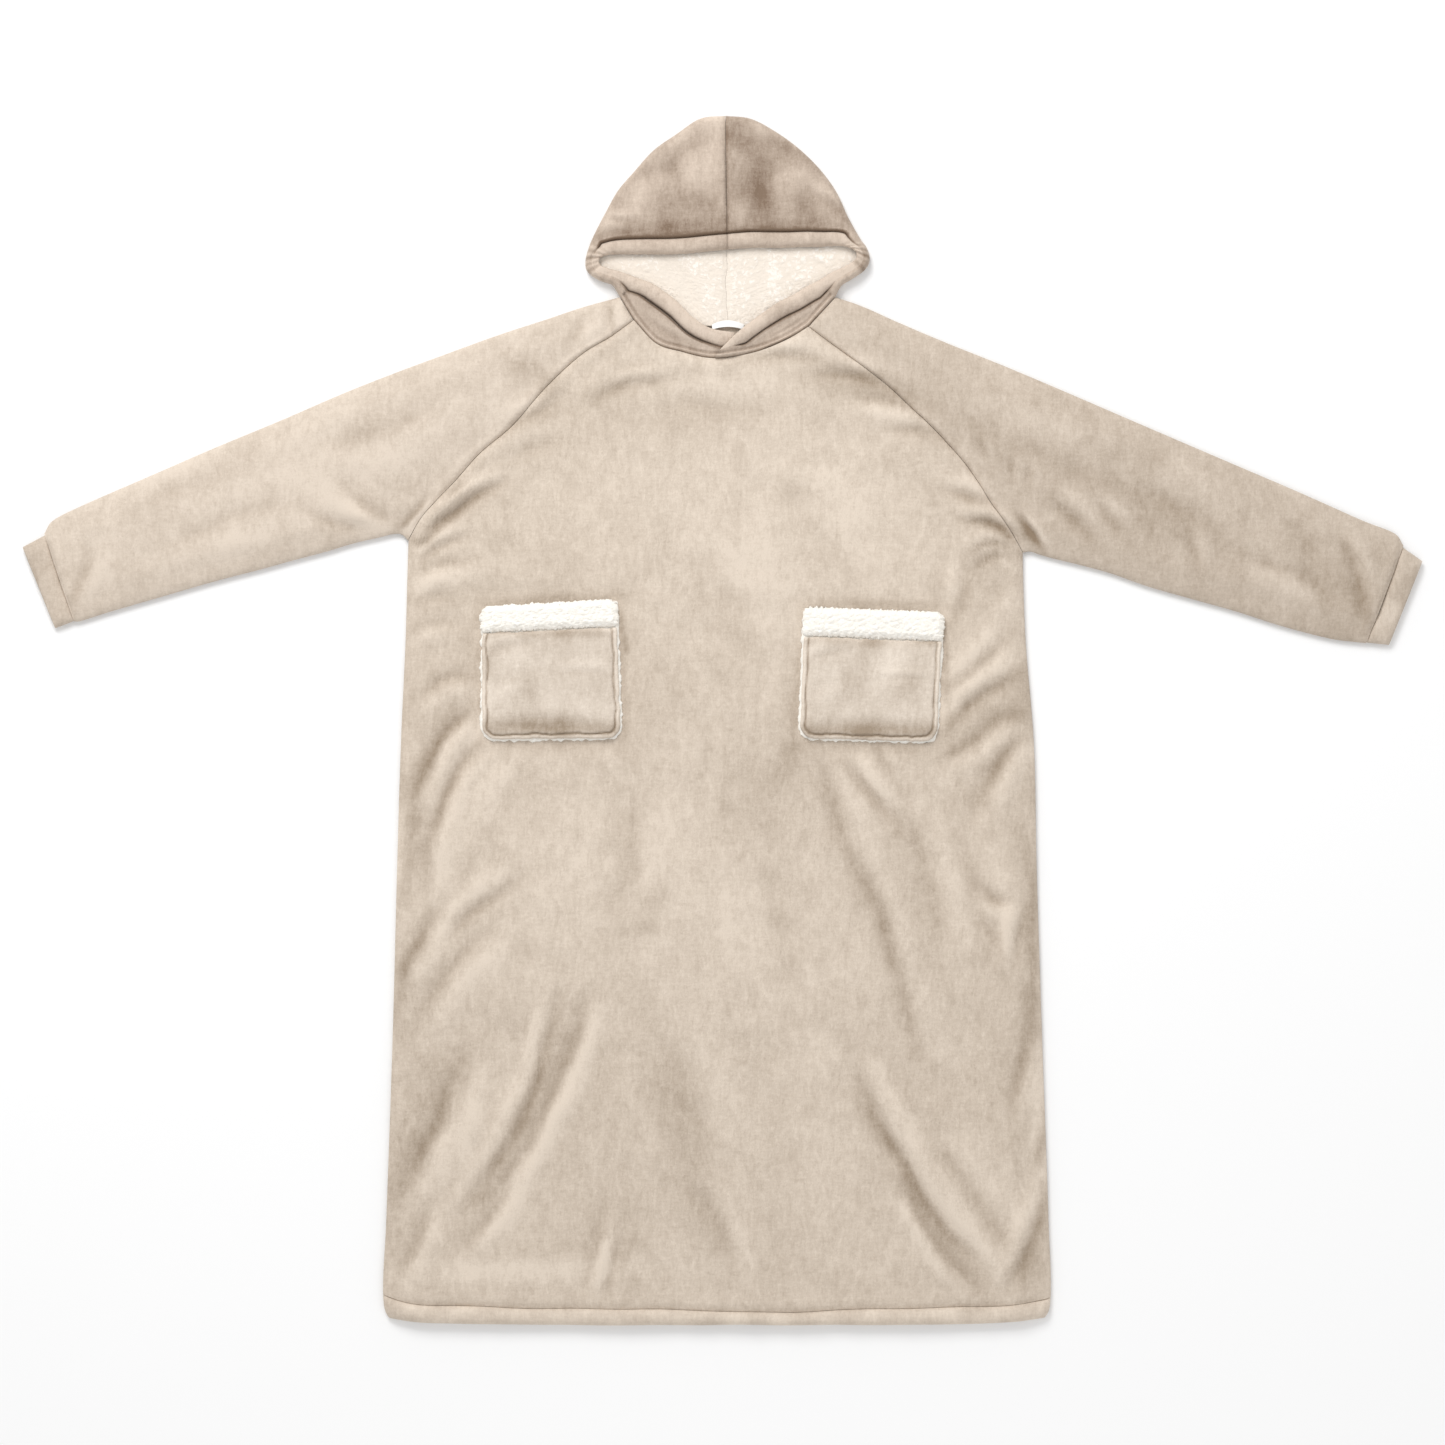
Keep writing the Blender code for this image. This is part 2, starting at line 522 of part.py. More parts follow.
def pocket_grid(corners, start, end, grow, steps, rounded):
    """Points over a pocket between two shares of its height, from the bottom up, with its lower
    corners rounded."""
    top_right, top_left, low_left, low_right = np.column_stack((corners["x"], corners["y"]))
    up = np.linspace(start, end, steps)[:, None]
    across = np.linspace(0.0, 1.0, steps)
    height = np.linalg.norm(top_right - low_right)
    width = np.linalg.norm(top_left - top_right)
    short = np.clip(1.0 - (up - start) * height / POCKET_ROUND, 0.0, 1.0) if rounded else 0.0 * up
    narrow = POCKET_ROUND / width * (1.0 - np.sqrt(1.0 - short ** 2))
    across = narrow + across * (1.0 - 2.0 * narrow)
    across = 0.5 + (across - 0.5) * (1.0 + 2.0 * grow / width)
    up = np.broadcast_to(up, across.shape)
    low = low_right + across[..., None] * (low_left - low_right)
    high = top_right + across[..., None] * (top_left - top_right)
    return low + up[..., None] * (high - low)


def pocket(side, corners, band_start):
    """A patch pocket: its sherpa inside lies on the front and shows round the flannel face, and
    its top is turned down so that the sherpa faces out."""
    seat = FLAT_HEIGHT + POCKET_SEAT + 0.3
    edge_rise = np.array((0.35, 0.8, 1.0, 1.0, 1.0, 1.0, 1.0, 0.8, 0.35))
    steps = len(edge_rise)
    round_off = np.outer(edge_rise, edge_rise)
    bell = np.sin(np.pi * np.linspace(0.0, 1.0, steps))
    puff = np.sqrt(np.outer(bell, bell))

    flange = POCKET_FLANGE / 145.0
    place = pocket_grid(corners, -flange, 1.0, POCKET_FLANGE, 7, True)
    x, y = place[..., 0], place[..., 1]
    wall("pocket_lining_" + side, grid_of(x, y, seat + POCKET_LINING), grid_of(x, y, seat), sherpa)

    floor = seat + POCKET_LINING + 0.3
    place = pocket_grid(corners, 0.0, band_start - 0.008, 0.0, steps, True)
    x, y = place[..., 0], place[..., 1]
    under = floor + POCKET_PUFF * puff
    wall("pocket_" + side, grid_of(x, y, under + POCKET_FACE * round_off),
         grid_of(x, y, under), flannel)

    place = pocket_grid(corners, band_start, 1.015, 2.0, steps, False)
    x, y = place[..., 0], place[..., 1]
    wall("pocket_band_" + side, grid_of(x, y, floor + BAND_THICK * round_off),
         grid_of(x, y, floor), sherpa)


def neck_label():
    """A small blank label sewn at the back of the neck, arched along its top."""
    across = np.linspace(-1.0, 1.0, 7)
    up = np.array((0.0, 1.0))[:, None]
    y = LINING_HEM_Y - 2.0 + up * (LABEL_DEPTH - LABEL_ARCH * across ** 2)
    x = CENTRE_SEAM_X + 1.5 + 0.5 * LABEL_WIDTH * across
    floor = LINING_FLOOR + LINING_THICK + 0.2
    return wall("neck_label", grid_of(x, y, floor + LABEL_THICK), grid_of(x, y, floor), tape)


for leftover in list(bpy.data.objects):
    bpy.data.objects.remove(leftover, do_unlink=True)
garment = bpy.data.collections.new("wearable_blanket_hoodie")
bpy.context.scene.collection.children.link(garment)

flannel = fabric("flannel", (0.72, 0.61, 0.50), 0.85)
sherpa = fabric("sherpa", (0.93, 0.89, 0.82), 0.95)
tape = fabric("label_tape", (0.90, 0.89, 0.87), 0.6)

back_panel()
front_panel()
hem_band()
sleeve("sleeve_right", RIGHT_SLEEVE, RIGHT_SHOULDER, RIGHT_RAGLAN, -1.0)
sleeve("sleeve_left", LEFT_SLEEVE, LEFT_SHOULDER, LEFT_RAGLAN, 1.0)
cuff("cuff_right", RIGHT_SLEEVE, RIGHT_CUFF, -1.0)
cuff("cuff_left", LEFT_SLEEVE, LEFT_CUFF, 1.0)
hood_half("hood_right", RIGHT_HOOD, -1.0)
hood_half("hood_left", LEFT_HOOD, 1.0)
hood_lining("hood_lining_right", RIGHT_HOOD, -1.0)
hood_lining("hood_lining_left", LEFT_HOOD, 1.0)
pocket("right", RIGHT_POCKET, RIGHT_BAND_START)
pocket("left", LEFT_POCKET, LEFT_BAND_START)
neck_label()
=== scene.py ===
"""The looks of a wearable blanket hoodie laid flat: plush oatmeal flannel outside, cream sherpa
inside. Lengths are millimetres on the flat garment until a mesh is made. +X is the wearer's left,
+Y the hood and +Z up."""
import bpy
import numpy as np
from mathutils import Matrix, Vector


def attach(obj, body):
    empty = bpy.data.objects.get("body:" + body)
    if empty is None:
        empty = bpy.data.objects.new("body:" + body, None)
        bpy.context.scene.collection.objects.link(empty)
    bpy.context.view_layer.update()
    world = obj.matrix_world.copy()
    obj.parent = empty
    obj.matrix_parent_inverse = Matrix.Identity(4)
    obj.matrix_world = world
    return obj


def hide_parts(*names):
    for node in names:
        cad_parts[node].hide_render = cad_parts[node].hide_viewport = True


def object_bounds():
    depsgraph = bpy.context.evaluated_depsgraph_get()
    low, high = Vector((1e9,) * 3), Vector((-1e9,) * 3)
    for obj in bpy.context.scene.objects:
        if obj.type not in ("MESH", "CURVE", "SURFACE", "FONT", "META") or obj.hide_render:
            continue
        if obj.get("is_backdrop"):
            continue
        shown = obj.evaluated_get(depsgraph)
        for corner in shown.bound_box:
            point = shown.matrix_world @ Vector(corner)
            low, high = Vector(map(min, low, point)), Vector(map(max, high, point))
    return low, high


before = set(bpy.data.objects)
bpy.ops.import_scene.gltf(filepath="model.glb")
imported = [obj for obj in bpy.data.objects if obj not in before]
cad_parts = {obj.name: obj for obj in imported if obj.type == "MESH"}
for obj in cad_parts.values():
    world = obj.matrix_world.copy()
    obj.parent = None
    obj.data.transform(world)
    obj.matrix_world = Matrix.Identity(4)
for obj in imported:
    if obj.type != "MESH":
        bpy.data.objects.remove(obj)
cad_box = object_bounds()

# Front of the body: one cut of flannel bonded to sherpa, from side seam to side seam and from
# the hem to the neck. It is joined to the sleeves along the slanting raglan seams, and lies in
# soft folds that run out from the armpits, the pockets and the lower corners.
MM = 0.001
WALL = 4.0
FLAT_HEIGHT = 8.8
MID_HEIGHT = FLAT_HEIGHT / 2
SIDE_SEAM_GAP = 0.3
SEAM_GAP = 0.45
FOLD_REACH = 12.0
LOFT = 3.4
LOFT_FADE = 34.0
POCKET_SEAT = 2.0
FOLD_STRENGTH = 1.7
FRONT_ROWS = 262
FOLD_WANDER = 0.22      # how far a fold strays to its sides, as a share of its width
WANDER_LENGTH = 80.0
FOLD_SHADE = 0.34       # painted shade: how much darker the colour is for each millimetre of a fold's depth, and lighter on its ridges as painted highlight
SEAM_DEPTH = 2.0
SEAM_WIDTH = 2.6
SEAM_FULLNESS = 0.7
POCKET_CLEAR = 5.0      # how far the even seat reaches past a pocket
POCKET_FADE = 20.0
CREASE_WIDTH = 5.0      # the narrowest crease that plush this thick can hold


def table(names, *rows):
    """Rows of a table as one array for each named column."""
    return dict(zip(names.split(), np.array(rows, float).T))


SIDES = table(
    "y right_x left_x",
    (-648, -362, 350), (-621, -364, 352), (-540, -361, 350), (-340, -354, 343), (-150, -349, 337),
    (-21, -345, 334), (91, -340, 325), (160, -338, 322.5), (193, -337, 322))
RIGHT_RAGLAN = table(
    "x y",
    (-337, 193), (-325, 214), (-310, 232), (-286, 257), (-263, 283), (-226, 315), (-186, 360), (-147, 395),
    (-120, 411), (-95, 429))
FRONT_NECK = table(
    "x y",
    (-95, 429), (-74, 406), (-44, 395), (-8, 388), (19, 391), (46, 398), (73, 410), (92, 422))
LEFT_RAGLAN = table(
    "x y",
    (92, 422), (112, 407), (149, 380), (179, 357), (201, 336), (238, 300), (268, 264), (287, 234),
    (310, 201), (322, 180))
HEM = table(
    "x seam_y low_y",
    (-364, -616, -641), (-343, -623, -644), (-287, -627, -646), (-184, -630, -648), (-90, -630, -648),
    (82, -634, -648), (128, -632, -648), (246, -628, -647), (312, -626, -645), (352, -619, -641))
RIGHT_POCKET = table("x y", (-257, 120), (-114, 128), (-109, -19), (-257, -20))
LEFT_POCKET = table("x y", (88, 120), (236, 114), (229, -23), (83, -19))

# Each fold is a trough with a soft ridge beside it. depth and ridge are heights, side says on
# which side of its direction the ridge lies, and bow bends the fold to the left.
FOLDS = table(
    "x0 y0 x1 y1 bow width depth ridge side",
    (-316, 196, -238, 252, 7, 7, 3.4, 3.0, 1), (-333, 193, -308, 199, -5, 4, 2.6, 1.6, 1),
    (-318, 236, -350, 203, 1, 4, 2.6, 2.2, 1), (-228, 310, -180, 342, 2, 9, 1.7, 1.4, 1),
    (-324, 172, -276, 196, 4, 6, 1.8, 1.6, 1), (-228, 282, -180, 298, 2, 9, 1.0, 0.9, 1),
    (-294, 240, -278, 253, 0, 4, 1.3, 1.0, -1), (-330, 158, -262, 172, 4, 9, 1.2, 1.2, -1),
    (-332, 128, -280, 133, 3, 9, 1.1, 1.1, 1), (-333, 96, -286, 104, 3, 8, 0.9, 0.9, -1),
    (258, 214, 319, 178, 14, 7, 3.2, 2.8, 1), (240, 246, 288, 232, 2, 7, 1.8, 1.6, 1),
    (260, 175, 313, 180, 12, 5, 1.7, 1.5, 1), (264, 163, 313, 175, 7, 5, 1.6, 1.4, 1),
    (258, 158, 240, 98, 6, 8, 1.3, 1.3, -1), (300, 150, 284, 118, 3, 9, 0.8, 0.8, 1),
    (179, 311, 240, 300, 5, 9, 1.4, 1.3, 1), (149, 343, 201, 334, 4, 8, 1.3, 1.3, -1),
    (96, 372, 190, 352, 6, 9, 1.8, 1.6, 1), (20, 383, 112, 384, 8, 8, 1.5, 1.5, 1),
    (-138, 344, -40, 366, 7, 11, 1.5, 1.6, 1), (-120, 371, -66, 384, 4, 7, 1.3, 1.1, -1),
    (-70, 330, 60, 322, 10, 20, 0.9, 0.9, 1), (-262, 48, -324, 28, -5, 10, 1.7, 1.5, 1),
    (-270, 10, -336, -110, -15, 12, 3.0, 3.4, 1), (-262, -28, -320, -176, -13, 12, 2.8, 3.0, 1),
    (-236, -34, -282, -120, -8, 11, 1.4, 1.3, 1), (-318, -84, -340, -196, -6, 11, 1.8, 1.8, -1),
    (-310, -208, -344, -290, -5, 11, 2.2, 2.0, 1), (-221, -171, -290, -232, -4, 10, 1.8, 1.5, -1),
    (-250, -226, -330, -330, -8, 13, 1.5, 1.5, 1), (-150, -306, -254, -518, 15, 10, 2.5, 2.4, 1),
    (-176, -296, -276, -524, 16, 9, 2.1, 2.2, -1), (-285, -372, -344, -500, 7, 14, 2.8, 2.8, 1),
    (-272, -376, -290, -470, 3, 9, 1.6, 1.4, 1), (-316, -520, -350, -596, 4, 10, 1.7, 1.6, 1),
    (-221, -490, -277, -562, 4, 9, 1.7, 1.5, 1), (-130, -520, -152, -612, 3, 8, 1.3, 1.2, 1),
    (-112, -560, -128, -618, 0, 6, 1.2, 1.0, -1), (238, 34, 305, 93, -6, 9, 1.8, 1.8, 1),
    (236, -12, 324, 56, 5, 10, 2.6, 2.8, 1), (240, -44, 328, 16, 4, 11, 2.2, 2.0, -1),
    (324, -14, 275, -92, -6, 11, 2.4, 2.6, 1), (134, -44, 184, -108, -3, 9, 1.8, 1.9, 1),
    (162, -32, 180, -58, 0, 7, 1.1, 1.0, 1), (110, -54, 150, -172, -4, 12, 1.9, 1.4, 1),
    (148, -164, 190, -290, 4, 11, 1.9, 1.6, 1), (188, -284, 214, -372, 0, 13, 1.2, 1.1, 1),
    (196, -96, 232, -260, 8, 14, 1.2, 1.1, 1), (282, -182, 308, -196, -4, 8, 1.9, 1.4, -1),
    (322, -204, 311, -262, 0, 7, 1.8, 2.2, -1), (252, -130, 304, -300, 8, 16, 1.3, 1.2, 1),
    (324, -120, 332, -330, 5, 12, 1.8, 1.8, 1), (147, -386, 287, -603, -9, 11, 3.4, 3.6, 1),
    (197, -504, 268, -606, -5, 8, 2.0, 1.7, -1), (226, -440, 316, -566, -8, 13, 1.2, 1.2, 1),
    (326, -340, 312, -420, -3, 9, 2.0, 2.0, 1), (345, -496, 312, -602, 6, 9, 2.4, 2.2, -1),
    (340, -430, 318, -520, 4, 11, 1.6, 1.6, 1), (-30, -500, 12, -600, 7, 12, 1.2, 1.1, 1),
    (-66, -330, -20, -480, 6, 22, 1.2, 0.9, 1), (40, -120, 66, -290, 5, 26, 1.0, 0.8, -1),
    (-96, -70, -120, -240, 6, 24, 1.0, 0.9, 1), (-36, 180, 34, 60, 5, 30, 0.9, 0.9, 1),
    (66, 250, 120, 170, 5, 24, 0.9, 0.9, 1), (320, 217, 344, 181, 1, 4, 3.4, 2.8, 1),
    (310, 282, 310, 257, 0, 5, 1.2, 0.9, 1), (326, 273, 327, 256, 0, 5, 1.1, 0.8, 1),
    (274, 302, 281, 280, 0, 6, 1.0, 0.9, 1), (351, 232, 400, 190, 4, 11, 1.9, 1.8, 1),
    (392, 234, 428, 194, 3, 9, 1.4, 1.4, 1), (500, 197, 508, 160, 2, 7, 1.2, 1.1, 1),
    (440, 250, 540, 190, 8, 16, 1.1, 1.1, 1), (560, 176, 652, 136, 5, 13, 1.2, 1.2, -1),
    (250, 330, 420, 262, -8, 20, 1.0, 1.0, 1), (662, 192, 688, 116, 4, 9, 1.8, 1.4, 1),
    (604, 216, 640, 132, 5, 16, 1.1, 1.0, -1), (-350, 214, -400, 246, 5, 10, 2.0, 1.8, 1),
    (-372, 204, -440, 222, 4, 10, 1.4, 1.3, -1), (-120, 449, -120, 416, 0, 5, 2.0, 1.7, 1),
    (-146, 440, -160, 402, 0, 8, 1.2, 1.1, 1), (-300, 340, -430, 296, 8, 18, 1.0, 1.0, 1),
    (-470, 230, -600, 184, -6, 16, 1.1, 1.0, 1), (-520, 280, -640, 226, 6, 18, 0.9, 1.0, -1),
    (-676, 190, -700, 120, 3, 9, 1.4, 1.2, 1))

# Brush marks: places where the nap lies another way and looks darker, or lighter below zero; the last of
# them are painted shade along the pockets' edges and in creases.
NAP_MARKS_AND_PAINTED_SHADE = table(
    "x y long wide turn dark",
    (-208, 376, 24, 12, -30, 0.75), (-190, 350, 18, 9, 10, 0.4), (-392, 304, 20, 12, 30, 0.45),
    (-60, 326, 90, 20, 5, 0.12), (-300, 226, 46, 12, 40, 0.45), (292, 190, 46, 14, 60, 0.4),
    (200, 340, 60, 16, -30, 0.25), (120, 360, 50, 12, -12, 0.3), (-318, -70, 90, 16, 68, 0.3),
    (-330, -260, 80, 14, 64, 0.3), (-290, -400, 120, 24, 66, 0.12), (-340, -470, 100, 14, 76, 0.25),
    (-215, -420, 120, 14, 62, 0.42), (-60, -420, 110, 26, 108, 0.22), (-110, -560, 60, 30, 90, 0.28),
    (190, -250, 150, 16, 108, 0.3), (205, -480, 130, 20, -58, 0.5), (330, -300, 150, 12, 88, 0.45),
    (320, -560, 60, 24, 70, 0.35), (300, 20, 60, 30, 40, 0.25), (290, -60, 50, 30, 60, 0.3),
    (-70, -190, 26, 14, 60, 0.5), (-90, -224, 30, 8, 10, 0.4), (30, -90, 60, 40, 30, 0.15),
    (238, -528, 140, 9, -56, -0.7), (-190, -430, 110, 7, 63, -0.4), (336, -430, 80, 8, 80, -0.6),
    (-200, -590, 130, 14, 2, -0.5), (20, 200, 180, 130, 0, -0.28), (-150, -180, 80, 110, 0, -0.25),
    (60, -200, 90, 130, 20, -0.2), (110, -420, 60, 90, 0, -0.15), (430, 240, 150, 60, -24, 0.3),
    (620, 150, 90, 60, -20, 0.26), (690, 140, 26, 60, -20, 0.3), (470, 210, 50, 20, 0, 0.2),
    (-690, 160, 30, 50, 20, 0.1), (-520, 180, 120, 22, 14, 0.06), (-480, 260, 160, 30, 24, -0.2),
    # From (-182, 131) on, the marks are painted shade: first along the pockets' edges, then, from (327,
    # 197), in the creases at the armpits and under the neck.
    (350, 330, 140, 22, -24, 0.2), (-30, 470, 60, 20, 0, 0.3), (-182, 131, 70, 5, 3, 0.75),
    (-107, 96, 34, 4, 94, 0.7), (-106, 20, 46, 4, 92, 0.5), (-262, 40, 66, 4, 90, 0.25),
    (162, 125, 70, 5, -2, 0.7), (239, 60, 56, 4, 93, 0.75), (80, 30, 50, 4, 88, 0.4),
    (74, 4, 46, 9, 88, 0.35), (72, -40, 34, 14, 60, 0.3), (330, 20, 60, 12, 66, 0.3),
    (160, -30, 60, 5, -2, 0.35), (-186, -27, 60, 5, 1, 0.35), (327, 197, 16, 9, -56, 0.8),
    (-316, 200, 14, 8, 30, 0.4), (276, 222, 16, 6, 0, 0.4), (150, 372, 60, 10, -14, 0.4),
    (-100, 370, 50, 9, 12, 0.35), (-20, 372, 40, 8, 0, 0.2), (-150, 340, 60, 10, 20, 0.2))


def smooth(value):
    """Ease from 0 to 1, level at both ends: 3v^2 - 2v^3."""
    value = np.clip(value, 0.0, 1.0)
    return value * value * (3.0 - 2.0 * value)


def smooth_line(x, y, at):
    """A smooth line through a table's points: on each stretch the cubic whose slope at either
    end is that of the chord between the neighbours."""
    slope = np.gradient(y, x)
    at = np.clip(at, x[0], x[-1])
    stretch = np.clip(np.searchsorted(x, at) - 1, 0, len(x) - 2)
    run = x[stretch + 1] - x[stretch]
    part = (at - x[stretch]) / run
    rest = 1.0 - part
    return (y[stretch] * rest ** 2 * (1.0 + 2.0 * part) + y[stretch + 1] * part ** 2 * (3.0 - 2.0 * part)
            + run * part * rest * (slope[stretch] * rest - slope[stretch + 1] * part))


def edge_line(rows, keys, at):
    """Points of a smooth line through two of a table's columns, counted along its rows."""
    row = np.arange(float(len(rows[keys[0]])))
    return np.column_stack([smooth_line(row, rows[key], at) for key in keys])


def ripple(x, y, scale, seed):
    """An even, never repeating swell between about -1 and 1: the mean of seven sine waves whose
    directions and phases follow from the seed, with wavelengths near the scale."""
    random = np.random.default_rng(seed)
    total = np.zeros(np.broadcast(x, y).shape)
    for angle, phase, stretch in random.uniform((0.0, 0.0, 0.7), (np.pi, 6.28, 1.5), (7, 3)):
        wave = 2.0 * np.pi * stretch / scale
        total = total + np.sin(wave * (x * np.cos(angle) + y * np.sin(angle)) + phase)
    return total / 3.5


def fold_height(x, y, folds):
    """Height of the folds: across each one a bell with a narrow one in its middle pressed down
    and, one and a half widths to one side, a wider bell raised. They wander a little sideways
    and fade towards the fold's ends."""
    height = np.zeros(np.shape(x))
    wander = FOLD_WANDER * ripple(x, y, WANDER_LENGTH, 17)
    for x0, y0, x1, y1, bow, width, depth, ridge, side in zip(*folds.values()):
        length = np.hypot(x1 - x0, y1 - y0)
        along = ((x - x0) * (x1 - x0) + (y - y0) * (y1 - y0)) / length ** 2
        across = ((x1 - x0) * (y - y0) - (y1 - y0) * (x - x0)) / length
        reach = np.clip(along, 0.0, 1.0)
        across = across - bow * 4.0 * reach * (1.0 - reach) + wander * width
        beyond = (along - reach) * length / (1.5 * width)
        taper = np.sin(np.pi * (0.1 + 0.8 * reach ** 0.85)) * np.exp(-beyond ** 2)
        crease = np.exp(-(across / max(0.4 * width, CREASE_WIDTH)) ** 2)
        trough = 0.7 * np.exp(-(across / width) ** 2) + 0.4 * crease
        crest = np.exp(-((across - side * 1.5 * width) / (1.15 * width)) ** 2)
        height = height + taper * (ridge * crest - depth * trough)
    return height


def relief(x, y):
    """Height of the front layer over its flat lie: its loft, a slow swell and the folds, never
    below the back layer, and even where a pocket is sewn on."""
    height = LOFT + 0.8 * ripple(x, y, 190.0, 3) + 0.35 * ripple(x, y, 62.0, 4)
    height = height + FOLD_STRENGTH * fold_height(x, y, FOLDS)
    height = 0.5 * (height + np.sqrt(height ** 2 + 0.3))
    for pocket in (RIGHT_POCKET, LEFT_POCKET):
        out_x = np.maximum(pocket["x"].min() - x, x - pocket["x"].max()) - POCKET_CLEAR
        out_y = np.maximum(pocket["y"].min() - y, y - pocket["y"].max()) - POCKET_CLEAR
        height = POCKET_SEAT + (height - POCKET_SEAT) * smooth(np.maximum(out_x, out_y) / POCKET_FADE)
    return height


def brush_shade(x, y, marks):
    """How dark the marks are, nap marks and painted shade alike: each is an oval with an uneven edge that
    fades outwards.
    """
    shade = np.zeros(np.shape(x))
    for mark_x, mark_y, long, wide, turn, dark in zip(*marks.values()):
        turn = np.radians(turn)
        along = ((x - mark_x) * np.cos(turn) + (y - mark_y) * np.sin(turn)) / long
        across = ((y - mark_y) * np.cos(turn) - (x - mark_x) * np.sin(turn)) / wide
        wobble = 0.35 * ripple(x, y, 38.0, 8)
        shade = shade + dark * np.exp(-np.maximum(along ** 2 + across ** 2 + wobble, 0.0))
    return shade


def tone_and_painted_shade(x, y):
    """How dark the colour is: the nap's brush marks and painted shade, and the folds, with painted shade
    in their troughs and a painted highlight on their ridges."""
    return brush_shade(x, y, NAP_MARKS_AND_PAINTED_SHADE) - FOLD_SHADE * np.clip(fold_height(x, y, FOLDS), -3.0, 1.6)


def seam_dip(distance):
    """Cloth beside a seam: drawn down at the stitches and slightly full a finger's width away."""
    stitches = -SEAM_DEPTH * np.exp(-(distance / SEAM_WIDTH) ** 2)
    return stitches + SEAM_FULLNESS * np.exp(-((distance - 9.0) / 6.0) ** 2)


def side_x(side, y):
    """Where a side seam lies at a height on the garment."""
    return smooth_line(SIDES["y"], SIDES[side], y)


def front_top_y(x):
    """The front's cut line: up one raglan, round the neck and down the other."""
    neck = smooth_line(FRONT_NECK["x"], FRONT_NECK["y"], x)
    right = smooth_line(RIGHT_RAGLAN["x"], RIGHT_RAGLAN["y"], x)
    left = smooth_line(LEFT_RAGLAN["x"], LEFT_RAGLAN["y"], x)
    return np.where(x < RIGHT_RAGLAN["x"][-1], right, np.where(x > LEFT_RAGLAN["x"][0], left, neck))


def back_top_y(x):
    """The back's cut line: the same raglans and a straight neck."""
    ends = (RIGHT_RAGLAN["x"][-1], LEFT_RAGLAN["x"][0])
    straight = np.interp(x, ends, (RIGHT_RAGLAN["y"][-1], LEFT_RAGLAN["y"][0]))
    return np.where((x > ends[0]) & (x < ends[1]), straight, front_top_y(x))


def round_edge(steps):
    """Shares of the way in and up round a quarter turn of a folded edge."""
    turn = np.linspace(0.0, np.pi / 2, steps)
    return 1.0 - np.cos(turn), np.sin(turn)


ARC_INSET, ARC_RISE = round_edge(8)
OUTER_INSET = FOLD_REACH * ARC_INSET
INNER_INSET = WALL + (FOLD_REACH - WALL) * ARC_INSET


def torso_columns(inset, spacing):
    """Columns across the body at armpit height, with how far each has risen over the side
    fold. They meet the neck's two corners exactly."""
    right, left = RIGHT_RAGLAN["x"][0], LEFT_RAGLAN["x"][-1]
    corners = (right + FOLD_REACH, RIGHT_RAGLAN["x"][-1], LEFT_RAGLAN["x"][0], left - FOLD_REACH)
    parts = [np.linspace(a, b, int((b - a) / spacing) + 2)[1:] for a, b in zip(corners, corners[1:])]
    middle = np.concatenate(parts)[:-1]
    columns = np.concatenate((right + inset, middle, left - inset[::-1]))
    rise = np.concatenate((ARC_RISE, np.ones(len(middle)), ARC_RISE[::-1]))
    return columns, rise


def torso_x(column, y):
    """A column's place at a height: the arcs keep their inset from the side seam, and the rest
    spread with the body towards the hem."""
    right, left = RIGHT_RAGLAN["x"][0], LEFT_RAGLAN["x"][-1]
    share = np.clip((column - right - FOLD_REACH) / (left - right - 2 * FOLD_REACH), 0.0, 1.0)
    shift_right = side_x("right_x", y) - right
    shift_left = side_x("left_x", y) - left
    return column + shift_right * (1.0 - share) + shift_left * share


def side_fade(column):
    """How much of the front's loft a column has: none at the side seams."""
    right, left = RIGHT_RAGLAN["x"][0], LEFT_RAGLAN["x"][-1]
    return smooth(np.minimum(column - right, left - column) / LOFT_FADE)


def hem_line(column, line):
    """The hem's seam or lower edge under a column, slightly wavy as it is sewn."""
    x = torso_x(column, HEM["seam_y"].mean())
    wave = 0.8 * ripple(x, 0.0 * x, 90.0, 5) if line == "seam_y" else 0.4 * ripple(x, 0.0 * x, 120.0, 6)
    return smooth_line(HEM["x"], HEM[line], x) + wave


def grid_of(x, y, z):
    """Three arrays as one grid of points."""
    return np.stack(np.broadcast_arrays(x, y, z), -1)


def flat_tube(x, y, rise, top, low):
    """A flattened tube over (along, round): its upper layer from fold to fold at one height, and
    back along its lower layer at another. rise brings both to mid-height at the folds."""
    upper = grid_of(x, y, MID_HEIGHT + rise * (top - MID_HEIGHT))
    under = grid_of(x, y, MID_HEIGHT + rise * (low - MID_HEIGHT))
    return np.concatenate((upper, under[:, -2:0:-1]), axis=1)


